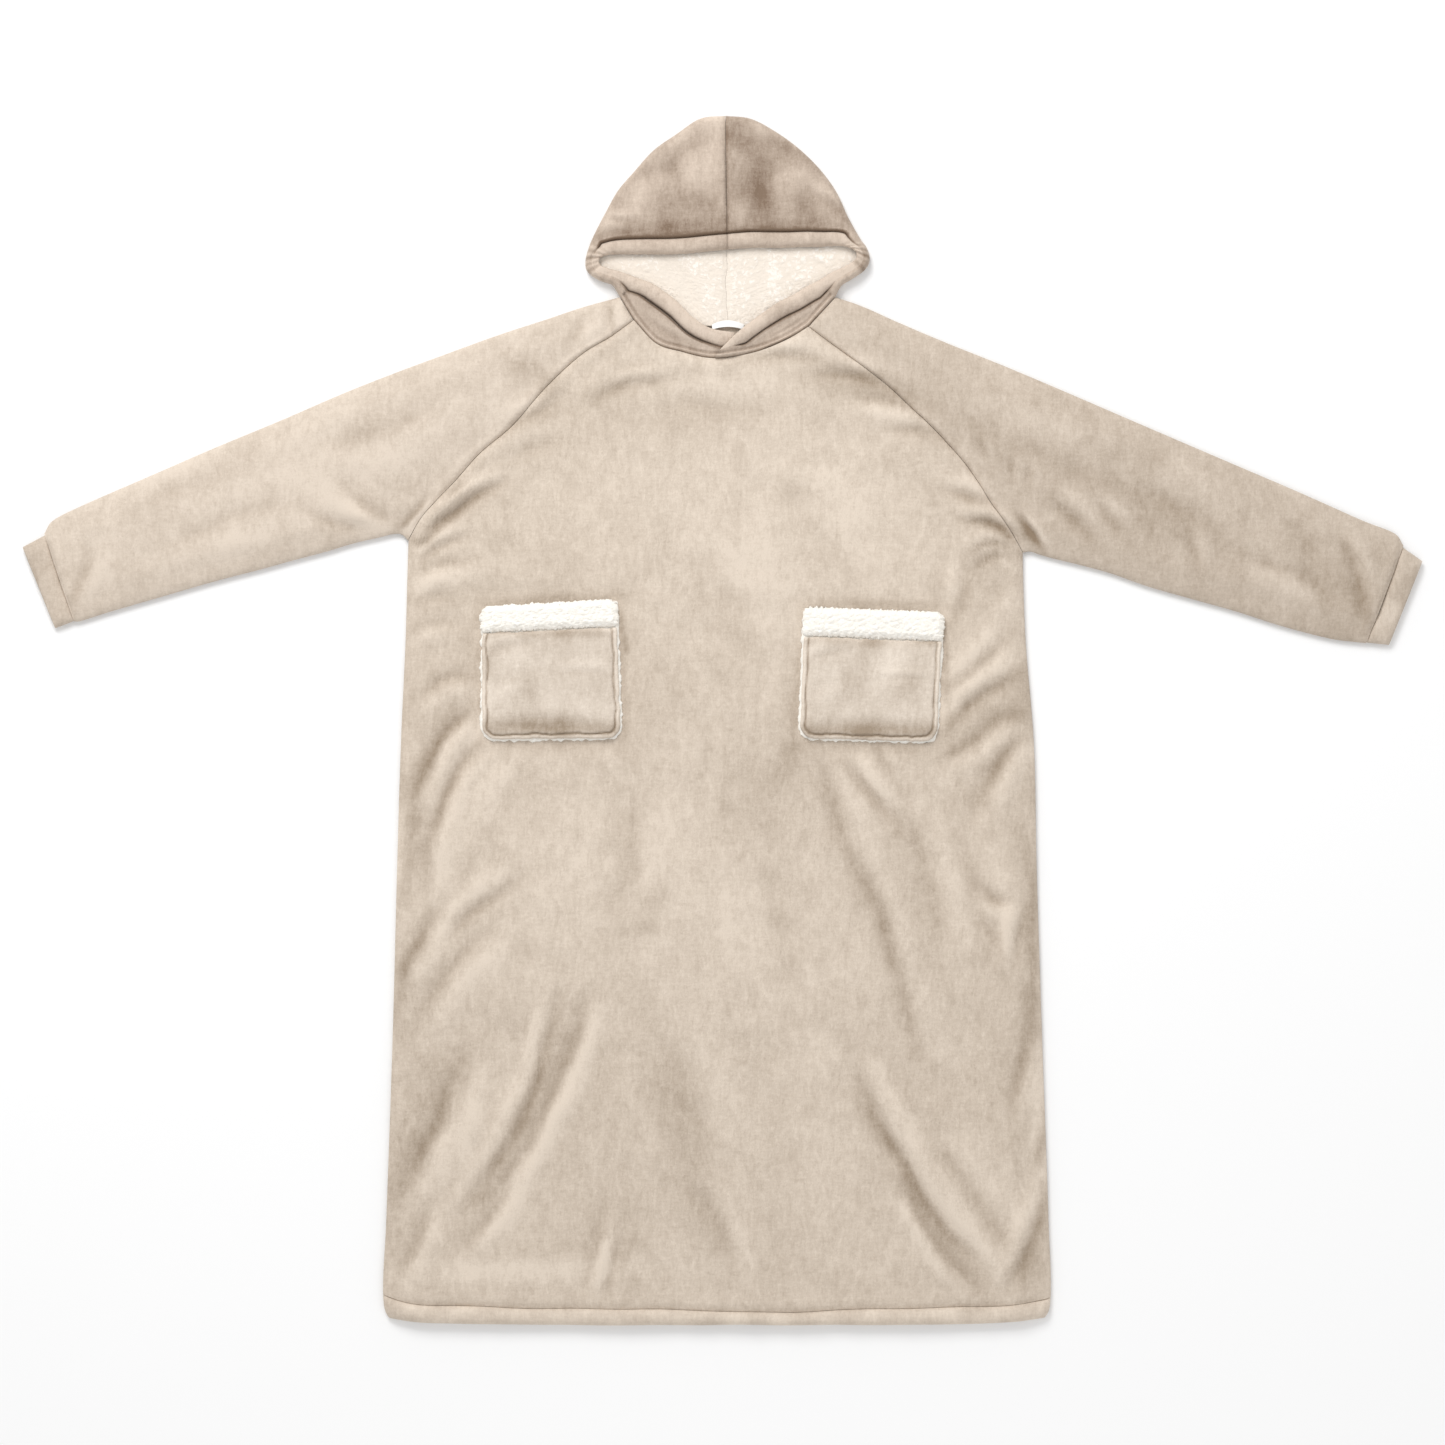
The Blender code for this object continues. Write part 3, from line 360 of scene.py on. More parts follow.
def cloth_wall(name, outer, inner, material, shade=None, closed=False, keep=None):
    """One piece as a closed wall between an outer and an inner grid of points, with a rim round every open
    side, turned so that its faces point outwards. shade is the colour's darkness at each point, the nap's
    tone and painted shade together, and is kept as an attribute."""
    rows, columns = outer.shape[:2]
    count = rows * columns
    index = np.arange(count).reshape(rows, columns)
    if closed:
        index = np.hstack((index, index[:, :1]))
    cells = np.stack((index[:-1, :-1], index[:-1, 1:], index[1:, 1:], index[1:, :-1]), -1)
    outside = (cells if keep is None else cells[keep]).reshape(-1, 4)
    start = outside.ravel()
    end = np.roll(outside, -1, axis=1).ravel()
    alone = ~np.isin(start * count + end, end * count + start)
    start, end = start[alone], end[alone]
    rim = np.column_stack((end, start, start + count, end + count))
    faces = np.concatenate((outside, outside[:, ::-1] + count, rim))
    points = np.concatenate((outer.reshape(-1, 3), inner.reshape(-1, 3))) * MM
    used = np.unique(faces)
    faces = np.searchsorted(used, faces)
    points = points[used]
    corner = points[faces]
    middle = corner.mean(axis=1)
    turn = np.cross(corner[:, 2] - corner[:, 0], corner[:, 3] - corner[:, 1])
    if (middle * turn).sum() < 0.0:
        faces = faces[:, ::-1]
    mesh = bpy.data.meshes.new(name)
    mesh.from_pydata(points.tolist(), [], faces.tolist())
    mesh.shade_smooth()
    mesh.set_sharp_from_angle(angle=np.radians(60.0))
    if shade is not None:
        both = np.tile(np.broadcast_to(shade, (rows, columns)).ravel(), 2)[used]
        attribute = mesh.attributes.new("tone_and_painted_shade", "FLOAT", "POINT")
        attribute.data.foreach_set("value", both.astype(np.float32))
    mesh.materials.append(material)
    piece = bpy.data.objects.new(name, mesh)
    bpy.context.scene.collection.objects.link(piece)
    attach(piece, "root")
    return piece


def start_material(name, **values):
    """A new material with constants on its shader's own sockets, a short way to add and to link
    nodes, and the object's own coordinates."""
    material = bpy.data.materials.new(name)
    material.use_nodes = True
    tree = material.node_tree
    shader = tree.nodes["Principled BSDF"]
    for socket, value in values.items():
        shader.inputs[socket.replace("_", " ")].default_value = value

    def add(kind, **values):
        node = tree.nodes.new(kind)
        for key, value in values.items():
            if hasattr(node, key):
                setattr(node, key, value)
            else:
                node.inputs[key.replace("_", " ")].default_value = value
        return node

    return material, shader, add, tree.links.new, add("ShaderNodeTexCoord")


def plush_flannel(name, light, dark, shade_bias):
    """Brushed flannel: a short velvety nap whose colour runs from light to dark as it lies one way or the
    other, in cloudy patches, streaks down the garment and a fine grain, and with the mesh's shade
    attribute, which adds painted shade and highlight."""
    material, shader, add, link, place = start_material(
        name, Roughness=0.9, Specular_IOR_Level=0.2, Sheen_Weight=0.35, Sheen_Roughness=0.45,
        Sheen_Tint=(1.0, 0.94, 0.86, 1.0))
    # Painted shade and highlight from creases, seams and pocket edges come in with the nap's marks through
    # this attribute.
    tone_and_painted_shade_node = add("ShaderNodeAttribute", attribute_name="tone_and_painted_shade")
    total = tone_and_painted_shade_node.outputs["Fac"]
    weights = dict(clouds=0.55, patches=0.8, brush=1.15, down=0.9, across=0.8, grain=0.9)
    scales = dict(clouds=8.0, patches=26.0, brush=70.0, down=260.0, across=260.0, grain=640.0)
    stretches = dict(brush=(1.3, 0.55, 1.0), down=(1.3, 0.4, 1.0), across=(0.4, 1.3, 1.0))
    textures = {}
    for layer in weights:
        texture = add("ShaderNodeTexNoise", Scale=scales[layer], Detail=4.0, Roughness=0.66,
                      Distortion=0.9 if layer in ("patches", "brush") else 0.2)
        stretch = add("ShaderNodeMapping", Scale=stretches.get(layer, (1.0, 0.8, 1.0)))
        link(place.outputs["Object"], stretch.inputs["Vector"])
        link(stretch.outputs["Vector"], texture.inputs["Vector"])
        textures[layer] = texture
    for layer, weight in weights.items():
        texture = textures[layer]
        centred = add("ShaderNodeMath", operation="SUBTRACT")
        centred.inputs[1].default_value = 0.5
        link(texture.outputs["Fac"], centred.inputs[0])
        weighted = add("ShaderNodeMath", operation="MULTIPLY_ADD")
        weighted.inputs[1].default_value = weight
        link(centred.outputs["Value"], weighted.inputs[0])
        link(total, weighted.inputs[2])
        total = weighted.outputs["Value"]
    spread = add("ShaderNodeMapRange")
    spread.inputs["From Min"].default_value = -0.55 - shade_bias
    spread.inputs["From Max"].default_value = 1.5 - shade_bias
    link(total, spread.inputs["Value"])
    colours = add("ShaderNodeValToRGB")
    colours.color_ramp.elements[0].color = (*light, 1.0)
    colours.color_ramp.elements[1].color = (*dark, 1.0)
    link(spread.outputs["Result"], colours.inputs["Fac"])
    link(colours.outputs["Color"], shader.inputs["Base Color"])
    fuzz = add("ShaderNodeMath", operation="MULTIPLY_ADD")
    fuzz.inputs[1].default_value = 1.6
    link(textures["down"].outputs["Fac"], fuzz.inputs[0])
    link(textures["grain"].outputs["Fac"], fuzz.inputs[2])
    bump = add("ShaderNodeBump", Strength=0.4, Distance=0.0014)
    link(fuzz.outputs["Value"], bump.inputs["Height"])
    link(bump.outputs["Normal"], shader.inputs["Normal"])
    return material


body_flannel = plush_flannel("body_flannel", (0.73, 0.63, 0.527), (0.275, 0.206, 0.143), 0.0)


def front_grid(inset, lie, drop):
    """The front over (column, row): rows run evenly from the hem seam to the cut line, and the
    height is the flat lie plus the relief, brought down round the side seams."""
    column, rise = torso_columns(inset, 4.1)
    up = np.linspace(0.0, 1.0, FRONT_ROWS)[:, None]
    low = hem_line(column, "seam_y")
    top = front_top_y(column)
    y = low + (top - low) * up
    x = torso_x(column, y)
    slope = np.hypot(1.0, np.gradient(top, column))
    dip = seam_dip((top - y) / slope) + seam_dip(y - low)
    seam = MID_HEIGHT + SIDE_SEAM_GAP / 2
    loft = (relief(x, y) + drop * dip) * side_fade(column)
    loft = np.maximum(loft, -0.6 * drop)
    return grid_of(x, y, seam + rise * (lie + loft - seam))


outer = front_grid(OUTER_INSET, FLAT_HEIGHT, 1.0)
inner = front_grid(INNER_INSET, FLAT_HEIGHT - WALL, 0.35)
front = cloth_wall("front_body", outer, inner, body_flannel, tone_and_painted_shade(outer[..., 0], outer[..., 1]))
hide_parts("front_panel")

# Back of the body: the same cut with a higher neck. It lies face down on the surface, pressed
# flat, and turns up at the sides to meet the front in the side seams.
BACK_ROWS = 120


def back_grid(inset, lie):
    """The back over (column, row), level on the surface and curled up at its side seams."""
    column, rise = torso_columns(inset, 7.0)
    up = np.linspace(0.0, 1.0, BACK_ROWS)[:, None]
    low = hem_line(column, "seam_y")
    y = low + (back_top_y(column) - low) * up
    seam = MID_HEIGHT - SIDE_SEAM_GAP / 2
    return grid_of(torso_x(column, y), y, seam + rise * (lie - seam))


outer = back_grid(OUTER_INSET, 0.0)
back = cloth_wall("back_body", outer, back_grid(INNER_INSET, WALL), body_flannel,
                  tone_and_painted_shade(-outer[..., 0], outer[..., 1]))
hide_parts("back_panel")

# Hem: the cloth's lower edge turned up and stitched into a plump narrow band all round, a little lighter
# than the body.
HEM_PUFF = 2.4
HEM_ROWS = 14


def hem_grid(inset, top, low, fullness):
    """The hem ring over (column, row): the front layer from side to side and back along the
    layer below, full in its middle and uneven along its length."""
    column, rise = torso_columns(inset, 4.6)
    down = np.linspace(0.0, 1.0, HEM_ROWS)[:, None]
    start = hem_line(column, "seam_y") - SEAM_GAP
    y = start + (hem_line(column, "low_y") - start) * down
    x = torso_x(column, y)
    tuck = 5.0 * down ** 4
    x = x + tuck * (smooth((60.0 - (column - column[0])) / 60.0)
                    - smooth((60.0 - (column[-1] - column)) / 60.0))
    loft = relief(x, y) * side_fade(column)
    uneven = 1.0 + 0.35 * ripple(x, 0.0 * y, 34.0, 9)
    bulge = fullness * (HEM_PUFF * uneven * np.sin(np.pi * down) ** 0.8 - 2.2 * down ** 6
                        - 1.8 * np.exp(-down * 12.0))
    return flat_tube(x, y, rise, top + loft + bulge, low)


hem_flannel = plush_flannel("hem_flannel", (0.75, 0.648, 0.542), (0.33, 0.255, 0.193), -0.12)
outer = hem_grid(OUTER_INSET, FLAT_HEIGHT, 0.0, 1.0)
hem = cloth_wall("turned_hem", outer, hem_grid(INNER_INSET, FLAT_HEIGHT - WALL, WALL, 0.0),
                 hem_flannel, 0.25 * ripple(outer[..., 0], outer[..., 1], 46.0, 12), closed=True)
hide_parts("hem_band")

# Sleeves: each is one cut closed along the underarm into a tube, set into the body along the
# raglan seam and into the neck at its top. They lie flat, slightly full along the middle.
SLEEVE_PUFF = 3.5
SLEEVE_SECTIONS = 132
RIGHT_SLEEVE = table(
    "top_x top_y low_x low_y",
    (-727, 201, -695, 106), (-717, 215, -687, 107), (-683, 232, -655, 117), (-614, 262, -600, 133),
    (-545, 292, -545, 149), (-475, 321, -495, 162), (-408, 350, -459, 172), (-350, 373, -425, 181),
    (-296, 393, -395, 190), (-241, 413, -369, 196), (-189, 430, -352, 200), (-150, 443, -343, 199),
    (-110, 454, -337, 193))
LEFT_SLEEVE = table(
    "top_x top_y low_x low_y",
    (730, 188, 690, 83), (720, 201, 679, 84), (685, 215, 650, 88), (620, 244, 600, 101),
    (550, 274, 550, 117), (480, 304, 500, 131), (415, 332, 455, 144), (350, 360, 415, 158),
    (295, 383, 382, 167), (240, 405, 357, 173), (188, 427, 339, 178), (150, 444, 330, 181),
    (121, 454, 322, 180))
RIGHT_SHOULDER = np.array((-110.0, 454.0))
LEFT_SHOULDER = np.array((121.0, 454.0))


def body_seam(inset, shoulder, raglan_x):
    """The sleeve's seam with the body, from the shoulder down the neck, then along the raglan
    to the armpit, with arcs of the given insets at both folds."""
    corner = np.array((raglan_x[0], front_top_y(raglan_x[:1])[0]))
    neck = shoulder + (inset / np.linalg.norm(corner - shoulder))[:, None] * (corner - shoulder)
    gap = np.linspace(0.0, 1.0, 5)[1:-1, None]
    neck = np.concatenate((neck, neck[-1] + gap * (corner - neck[-1])))
    end_x = raglan_x[-1] + np.sign(raglan_x[0] - raglan_x[-1]) * inset[::-1]
    line_x = np.concatenate((raglan_x[:-1], end_x))
    return np.concatenate((neck, np.column_stack((line_x, front_top_y(line_x)))))


def sleeve_grid(rows, shoulder, raglan_x, outward, inset, top, low, drop):
    """A sleeve over (section, round): straight sections at the cuff bend gradually into the
    line of the seam with the body; each runs over the top layer and back underneath."""
    at = np.linspace(0.0, 12.0, SLEEVE_SECTIONS)
    top_edge = edge_line(rows, ("top_x", "top_y"), at)
    low_edge = edge_line(rows, ("low_x", "low_y"), at)
    along = at / 12.0
    bend = np.clip((along - 0.45) / 0.55, 0.0, 1.0) ** 1.8
    chord = low_edge - top_edge
    length = np.linalg.norm(chord, axis=1)[:, None]
    outline = body_seam(OUTER_INSET, shoulder, raglan_x)
    seam = body_seam(inset, shoulder, raglan_x)
    steps = np.linalg.norm(np.diff(outline, axis=0), axis=1)
    share = np.concatenate(([0.0], np.cumsum(steps))) / steps.sum()
    arc = len(ARC_RISE)
    middle = (share[arc:-arc] - share[arc - 1]) / (share[-arc] - share[arc - 1])
    start = FOLD_REACH / length
    spread = np.hstack((inset / length, start + middle * (1.0 - 2.0 * start),
                        1.0 - inset[::-1] / length))
    flat = top_edge[:, None] + spread[..., None] * chord[:, None]
    place = flat + bend[:, None, None] * (seam - flat[-1])
    place = place + SEAM_GAP * np.array((1.25 * outward, 0.25))
    rise = np.concatenate((ARC_RISE, np.ones(len(middle)), ARC_RISE[::-1]))
    x, y = place[..., 0], place[..., 1]
    edge = np.minimum(spread, 1.0 - spread) * length
    to_body = np.linalg.norm(place - place[-1], axis=-1)
    to_cuff = np.linalg.norm(place - place[0], axis=-1)
    loft = relief(x, y) * smooth(edge / LOFT_FADE)
    loft = loft + SLEEVE_PUFF * np.sin(np.pi * spread) * np.sin(np.pi * along)[:, None]
    loft = loft + drop * (seam_dip(to_body) + seam_dip(to_cuff)) * smooth(edge / 16.0)
    loft = np.maximum(loft, -0.6 * drop)
    return flat_tube(x, y, rise, top + loft, low)


right_line = np.linspace(RIGHT_RAGLAN["x"][-1], RIGHT_RAGLAN["x"][0] + FOLD_REACH, 44)
left_line = np.linspace(LEFT_RAGLAN["x"][0], LEFT_RAGLAN["x"][-1] - FOLD_REACH, 44)
sleeve_flannel = plush_flannel("sleeve_flannel", (0.70, 0.603, 0.506), (0.28, 0.21, 0.146), 0.04)
for side, rows, shoulder, line, outward, darker in (
        ("right", RIGHT_SLEEVE, RIGHT_SHOULDER, right_line, -1.0, -0.26),
        ("left", LEFT_SLEEVE, LEFT_SHOULDER, left_line, 1.0, 0.06)):
    end = RIGHT_RAGLAN["x"][0] if side == "right" else LEFT_RAGLAN["x"][-1]
    line = np.append(line[:-1], end)
    outer = sleeve_grid(rows, shoulder, line, outward, OUTER_INSET, FLAT_HEIGHT, 0.0, 1.0)
    inner = sleeve_grid(rows, shoulder, line, outward, INNER_INSET, FLAT_HEIGHT - WALL, WALL, 0.35)
    shade = tone_and_painted_shade(outer[..., 0], outer[..., 1]) + darker
    piece = cloth_wall("sleeve_tube_" + side, outer, inner, sleeve_flannel, shade, closed=True)
    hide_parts("sleeve_" + side)

# Cuffs: a narrow doubled band closes each sleeve. It is a little tighter than the sleeve, so
# the sleeve's end swells beside it, and its open edge is turned in.
CUFF_PUFF = 1.4
RIGHT_CUFF = table("x y", (-751, 186), (-716, 99))
LEFT_CUFF = table("x y", (751, 171), (715, 81))


def cuff_grid(rows, edge, outward, inset, top, low, fullness):
    """A cuff over (row, round): a short flat tube from the sleeve's end to its own edge."""
    seam_top = np.array((rows["top_x"][0], rows["top_y"][0]))
    seam_low = np.array((rows["low_x"][0], rows["low_y"][0]))
    across = (seam_low - seam_top) / np.linalg.norm(seam_low - seam_top)
    away = np.array((-across[1], across[0])) * np.sign(-across[1] * outward)
    down = np.linspace(0.0, 1.0, 16)[:, None]
    first = seam_top + 2.0 * across + (SEAM_GAP + 0.25) * away
    second = seam_low - 1.0 * across + (SEAM_GAP + 0.25) * away
    first = first + (np.array((edge["x"][0], edge["y"][0])) - first) * down
    second = second + (np.array((edge["x"][1], edge["y"][1])) - second) * down
    length = np.linalg.norm(second - first, axis=1)[:, None]
    start = FOLD_REACH / length
    middle = start + np.linspace(0.0, 1.0, 22)[1:-1] * (1.0 - 2.0 * start)
    spread = np.hstack((inset / length, middle, 1.0 - inset[::-1] / length))
    place = first[:, None] + spread[..., None] * (second - first)[:, None]
    rise = np.concatenate((ARC_RISE, np.ones(20), ARC_RISE[::-1]))
    uneven = 1.0 + 0.3 * ripple(place[..., 0], place[..., 1], 30.0, 14)
    bulge = fullness * (CUFF_PUFF * uneven * np.sin(np.pi * down) ** 0.7 - 1.6 * down ** 8
                        - 1.6 * np.exp(-down * 14.0))
    return flat_tube(place[..., 0], place[..., 1], rise, top + bulge, low)


for side, rows, edge, outward in (("right", RIGHT_SLEEVE, RIGHT_CUFF, -1.0),
                                  ("left", LEFT_SLEEVE, LEFT_CUFF, 1.0)):
    outer = cuff_grid(rows, edge, outward, OUTER_INSET, FLAT_HEIGHT, 0.0, 1.0)
    inner = cuff_grid(rows, edge, outward, INNER_INSET, FLAT_HEIGHT - WALL, WALL, 0.0)
    shade = 0.3 * ripple(outer[..., 0], outer[..., 1], 44.0, 15) + 0.1
    piece = cloth_wall("cuff_band_" + side, outer, inner, sleeve_flannel, shade, closed=True)
    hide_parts("cuff_" + side)

# Hood: two halves joined along the crown. The opening's edge is turned in as a casing that runs
# down to the throat, where the wearer's left side laps over the right. The hood lies folded
# back on itself, so each half has an upper and a lower layer with a rounded rim between them.
HOOD_ROUND = 8.0
HOOD_TOP = 12.0
HOOD_MID = HOOD_TOP / 2
LINING_TOP = 7.5        # the upper layer never sinks below the top of the lining
FACE_EDGE_TOP = 12.4
CASING_SPAN = 21.0
CENTRE_SEAM_X = 4.3
HOOD_SHIFT = 0.5
NECK_SECTION = 13
SHOULDER_END = 15       # the section at the foot of the raglan, where the front neck starts
RIGHT_HOOD = table(
    "edge_x edge_y rim_x rim_y band lift",
    (5, 504, 3, 648, 1, 0), (-17, 502, -24, 645, 1, 0), (-36, 500, -50, 628, 1, 0),
    (-55, 499, -74, 611, 1, 0), (-74, 499, -94, 589, 1, 0), (-90, 499, -112, 568, 1, 0),
    (-104, 499, -125, 545, 1, 0), (-114, 499, -136, 524, 1, 0), (-124, 498, -143, 508, 1, 0),
    (-131, 495, -147, 493, 1, 0), (-131, 488, -145, 481, 1, 0), (-122, 484, -133, 472, 1, 0),
    (-108, 480, -119, 467, 1, 0), (-92, 474, -110, 454, 1, 0), (-76, 468, -103, 442, 1, 0),
    (-65, 461, -95, 429, 1, 0), (-49, 449, -74, 406, 1, 0), (-32, 432, -44, 395, 1, 0),
    (-13, 420, -8, 388, 0.6, 0), (13, 415, 5.5, 389.5, 0, -0.4))
LEFT_HOOD = table(
    "edge_x edge_y rim_x rim_y band lift",
    (5, 504, 3, 648, 1, 0), (28, 506, 30, 645, 1, 0), (48, 506, 57, 631, 1, 0), (67, 506, 83, 612, 1, 0),
    (85, 507, 106, 589, 1, 0), (103, 507, 123, 565, 1, 0), (117, 508, 135, 539, 1, 0),
    (127, 508, 148, 516, 1, 0), (136, 506, 155, 506, 1, 0), (143, 501, 158, 494, 1, 0),
    (142, 493, 153, 483, 1, 0), (129, 485, 139, 473, 1, 0), (118, 480, 128, 466, 1, 0),
    (105, 472, 121, 454, 1, 0), (89, 464, 106.5, 438, 1, 0), (76, 456, 92, 422, 1, 0),
    (60, 448, 73, 410, 1, 0), (41, 435, 46, 398, 1, 0.6), (17, 416, 19, 391, 1, 4.4),
    (-1, 398, -8, 388, 0.5, 5.2))
# Across the casing from the opening: distance in, and height over the plain cloth
CASING = table(
    "inset height",
    (0, -2.4), (0.7, -0.3), (1.8, 1.2), (3.6, 2.5), (6.2, 3.2), (9, 3.3), (11.6, 2.9), (13.6, 2.2),
    (15.2, 1.0), (16.2, -0.6), (16.9, -3.4), (17.6, -3.7), (18.3, -1.4), (19.4, -0.2), (20.8, 0.2))
CASING_STEPS = len(CASING["inset"])
CORNER_ROLL = 2.6       # fullness of the casing at the hood's corners, where it is the outline
THROAT_GAP = 2.6        # how much deeper the crease under the casing is at the right of the throat
CORNER_GATHER = table("at amount", (0, 0.1), (7, 0.14), (8.2, 0.6), (9.6, 0.75), (10.8, 0.5),
                      (12.5, 0.12), (19, 0.1))
HOOD_FOLDS = table(
    "x0 y0 x1 y1 bow width depth ridge side",
    (96, 566, 148, 528, 3, 6, 0.9, 1.4, 1), (-128, 540, -92, 536, -3, 4, 0.9, 0.7, 1),
    (-70, 600, -40, 540, 4, 16, 0.9, 0.9, 1), (60, 600, 36, 530, -4, 16, 0.9, 0.9, 1),
    (20, 622, 96, 604, 5, 12, 0.7, 0.8, 1), (-30, 620, -92, 580, 5, 12, 0.7, 0.8, -1),
    (112, 520, 150, 512, 2, 8, 0.8, 0.8, 1), (-138, 516, -100, 522, 2, 8, 0.8, 0.8, 1),
    (95, 449, 30, 404, 2, 3.2, 1.5, 1.2, 1), (97, 440, 40, 404, 2, 3.0, 1.4, 1.0, 1),
    (84, 441, 60, 425, 0, 3.0, 1.0, 0.9, -1), (-88, 436, -36, 404, -5, 8, 1.2, 1.2, 1))


def hood_rim(rows, at, column):
    """The folded outline, then straight down the shoulder seam, then along the front neck."""
    row = np.arange(20.0)
    line = smooth_line(row[:NECK_SECTION + 1], rows["rim_" + column][:NECK_SECTION + 1], at)
    shoulder = np.interp(at, row, rows["rim_" + column])
    neck_x = smooth_line(row[SHOULDER_END:], rows["rim_x"][SHOULDER_END:], at)
    neck = neck_x if column == "x" else smooth_line(FRONT_NECK["x"], FRONT_NECK["y"], neck_x)
    return np.where(at <= NECK_SECTION, line, np.where(at <= SHOULDER_END, shoulder, neck))


def hood_grid(rows, outward, wall_inset):
    """A hood half over (section, reach): from the opening's edge over the casing and the upper
    layer to the rim, round it, and back under to the crown seam. Past the shoulder only the
    upper layer is left."""
    at = np.concatenate((np.linspace(0.0, NECK_SECTION, 92), np.linspace(NECK_SECTION, 19.0, 58)[1:]))
    row = np.arange(20.0)
    edge = edge_line(rows, ("edge_x", "edge_y"), at)
    rim = np.column_stack([hood_rim(rows, at, key) for key in ("x", "y")])
    seam_shift = np.zeros((len(at), 2))
    seam_shift[0, 0] = 0.5 * SIDE_SEAM_GAP * outward
    edge = edge + seam_shift + np.array((0.0, HOOD_SHIFT))
    rim = rim + seam_shift + np.array((0.0, HOOD_SHIFT))
    folded = (at <= NECK_SECTION)[:, None]
    length = np.linalg.norm(rim - edge, axis=1)[:, None]
    rounding = np.where(folded, np.clip(0.32 * length, 5.0, HOOD_ROUND), HOOD_ROUND)
    scale = np.clip((length - rounding) / CASING_SPAN, 0.0, 1.0)
    stitched = smooth((scale - 0.55) / 0.35)
    band = np.interp(at, row, rows["band"])[:, None]
    lift = smooth_line(row, rows["lift"], at)[:, None]
    arc = wall_inset + (rounding - wall_inset) * ARC_INSET
    arcs = np.where(folded, arc, HOOD_ROUND * ARC_INSET)
    casing_in = CASING["inset"] * scale
    run = length - rounding - casing_in[:, -1:]
    middle = casing_in[:, -1:] + run * np.linspace(0.0, 1.0, 26)[1:-1]
    reach = np.hstack((casing_in, middle, length - arcs[:, ::-1]))
    share = reach / length
    place = edge[:, None] + share[..., None] * (rim - edge)[:, None]
    x, y = place[..., 0], place[..., 1]
    plain_folded = FACE_EDGE_TOP + (HOOD_TOP - FACE_EDGE_TOP) * smooth(share)
    plain_collar = FACE_EDGE_TOP + (FLAT_HEIGHT - FACE_EDGE_TOP) * smooth(1.25 * share - 0.25)
    plain = np.where(folded, plain_folded, plain_collar) + lift
    away = smooth((reach - casing_in[:, -1:]) / 12.0) * smooth((length - reach) / 10.0)
    crease = 1.4 * fold_height(x, y, HOOD_FOLDS) + 0.6 * ripple(x, y, 70.0, 21)
    height = plain + crease * away
    amount = np.interp(at, CORNER_GATHER["at"], CORNER_GATHER["amount"])
    gather = 1.0 + (amount * ripple(12.0 * at, 0.0 * at, 5.0, 22))[:, None] * (1.0 - 0.4 * scale)
    sewn = np.where(CASING["height"] > 0.0, CASING["height"] * gather, CASING["height"])
    rolled = np.where(CASING["inset"] > 6.0, CORNER_ROLL, CASING["height"]) * gather
    casing = sewn * stitched + rolled * (1.0 - stitched)
    height[:, :CASING_STEPS] += casing * band * smooth(scale) ** 0.5
    height[:, CASING_STEPS:] += CORNER_ROLL * (1.0 - stitched) * band * gather
    at_crown = np.abs(x - x[:1].mean()) * (at[:, None] < 6.0) + 40.0 * (at[:, None] >= 6.0)
    height = height + seam_dip(1.3 * at_crown)
    throat = smooth((at - 13.6) / 1.4) * smooth((18.2 - at) / 1.0) * (outward < 0.0)
    height = height - THROAT_GAP * throat[:, None] * np.exp(-((reach - 18.0) / 1.7) ** 2)
    neck = np.where(folded, 0.0, 1.0)
    from_neck = length - reach
    stitch_row = neck * np.exp(-((from_neck - 5.4) / 1.2) ** 2)
    neck_seam = neck * np.exp(-(from_neck / 1.1) ** 2)
    neck_roll = neck * np.exp(-((from_neck - 2.8) / 1.5) ** 2)
    height = height - 1.9 * stitch_row - 1.6 * neck_seam + 0.9 * neck_roll
    # dark is painted shade in the neck's stitch row and seam with a painted highlight on the roll between
    # them, painted shade in the gap under the casing at the throat, painted shade in the hood's creases
    # with painted highlight on their ridges, and a darker line along the crown seam.
    dark = 1.1 * stitch_row + 0.9 * neck_seam - 0.3 * neck_roll
    dark = dark + 2.2 * throat[:, None] * np.exp(-((reach - 18.0) / 1.5) ** 2)
    dark = dark - 0.3 * crease * away + 0.5 * np.exp(-(at_crown / 1.6) ** 2)
    # Across the casing: lighter on the casing itself, and painted shade in the crease above it where it is
    # stitched.
    under_casing = np.zeros(CASING_STEPS)
    under_casing[:9] = -0.5
    under_casing[9:] = (-0.2, 0.9, 1.6, 1.6, 0.9, 0.4)
    dark[:, :CASING_STEPS] += under_casing * np.where(under_casing > 0.0, stitched, 1.0)
    # Painted shade in the gathers' hollows and painted highlight on their crests, near the casing.
    dark = dark - 1.3 * (gather - 1.0) * smooth((CASING_SPAN + 3.0 - reach) / 6.0)
    if wall_inset > 0.0:
        height = np.minimum(height - 1.3, plain + 0.8 - WALL)
    rise = np.ones_like(height)
    count = len(ARC_RISE)
    rise[:, -count:] = np.where(folded, ARC_RISE[::-1], 1.0)
    height = np.maximum(height, np.where(folded, LINING_TOP, WALL + 0.5))
    upper = grid_of(x, y, HOOD_MID + rise * (height - HOOD_MID))

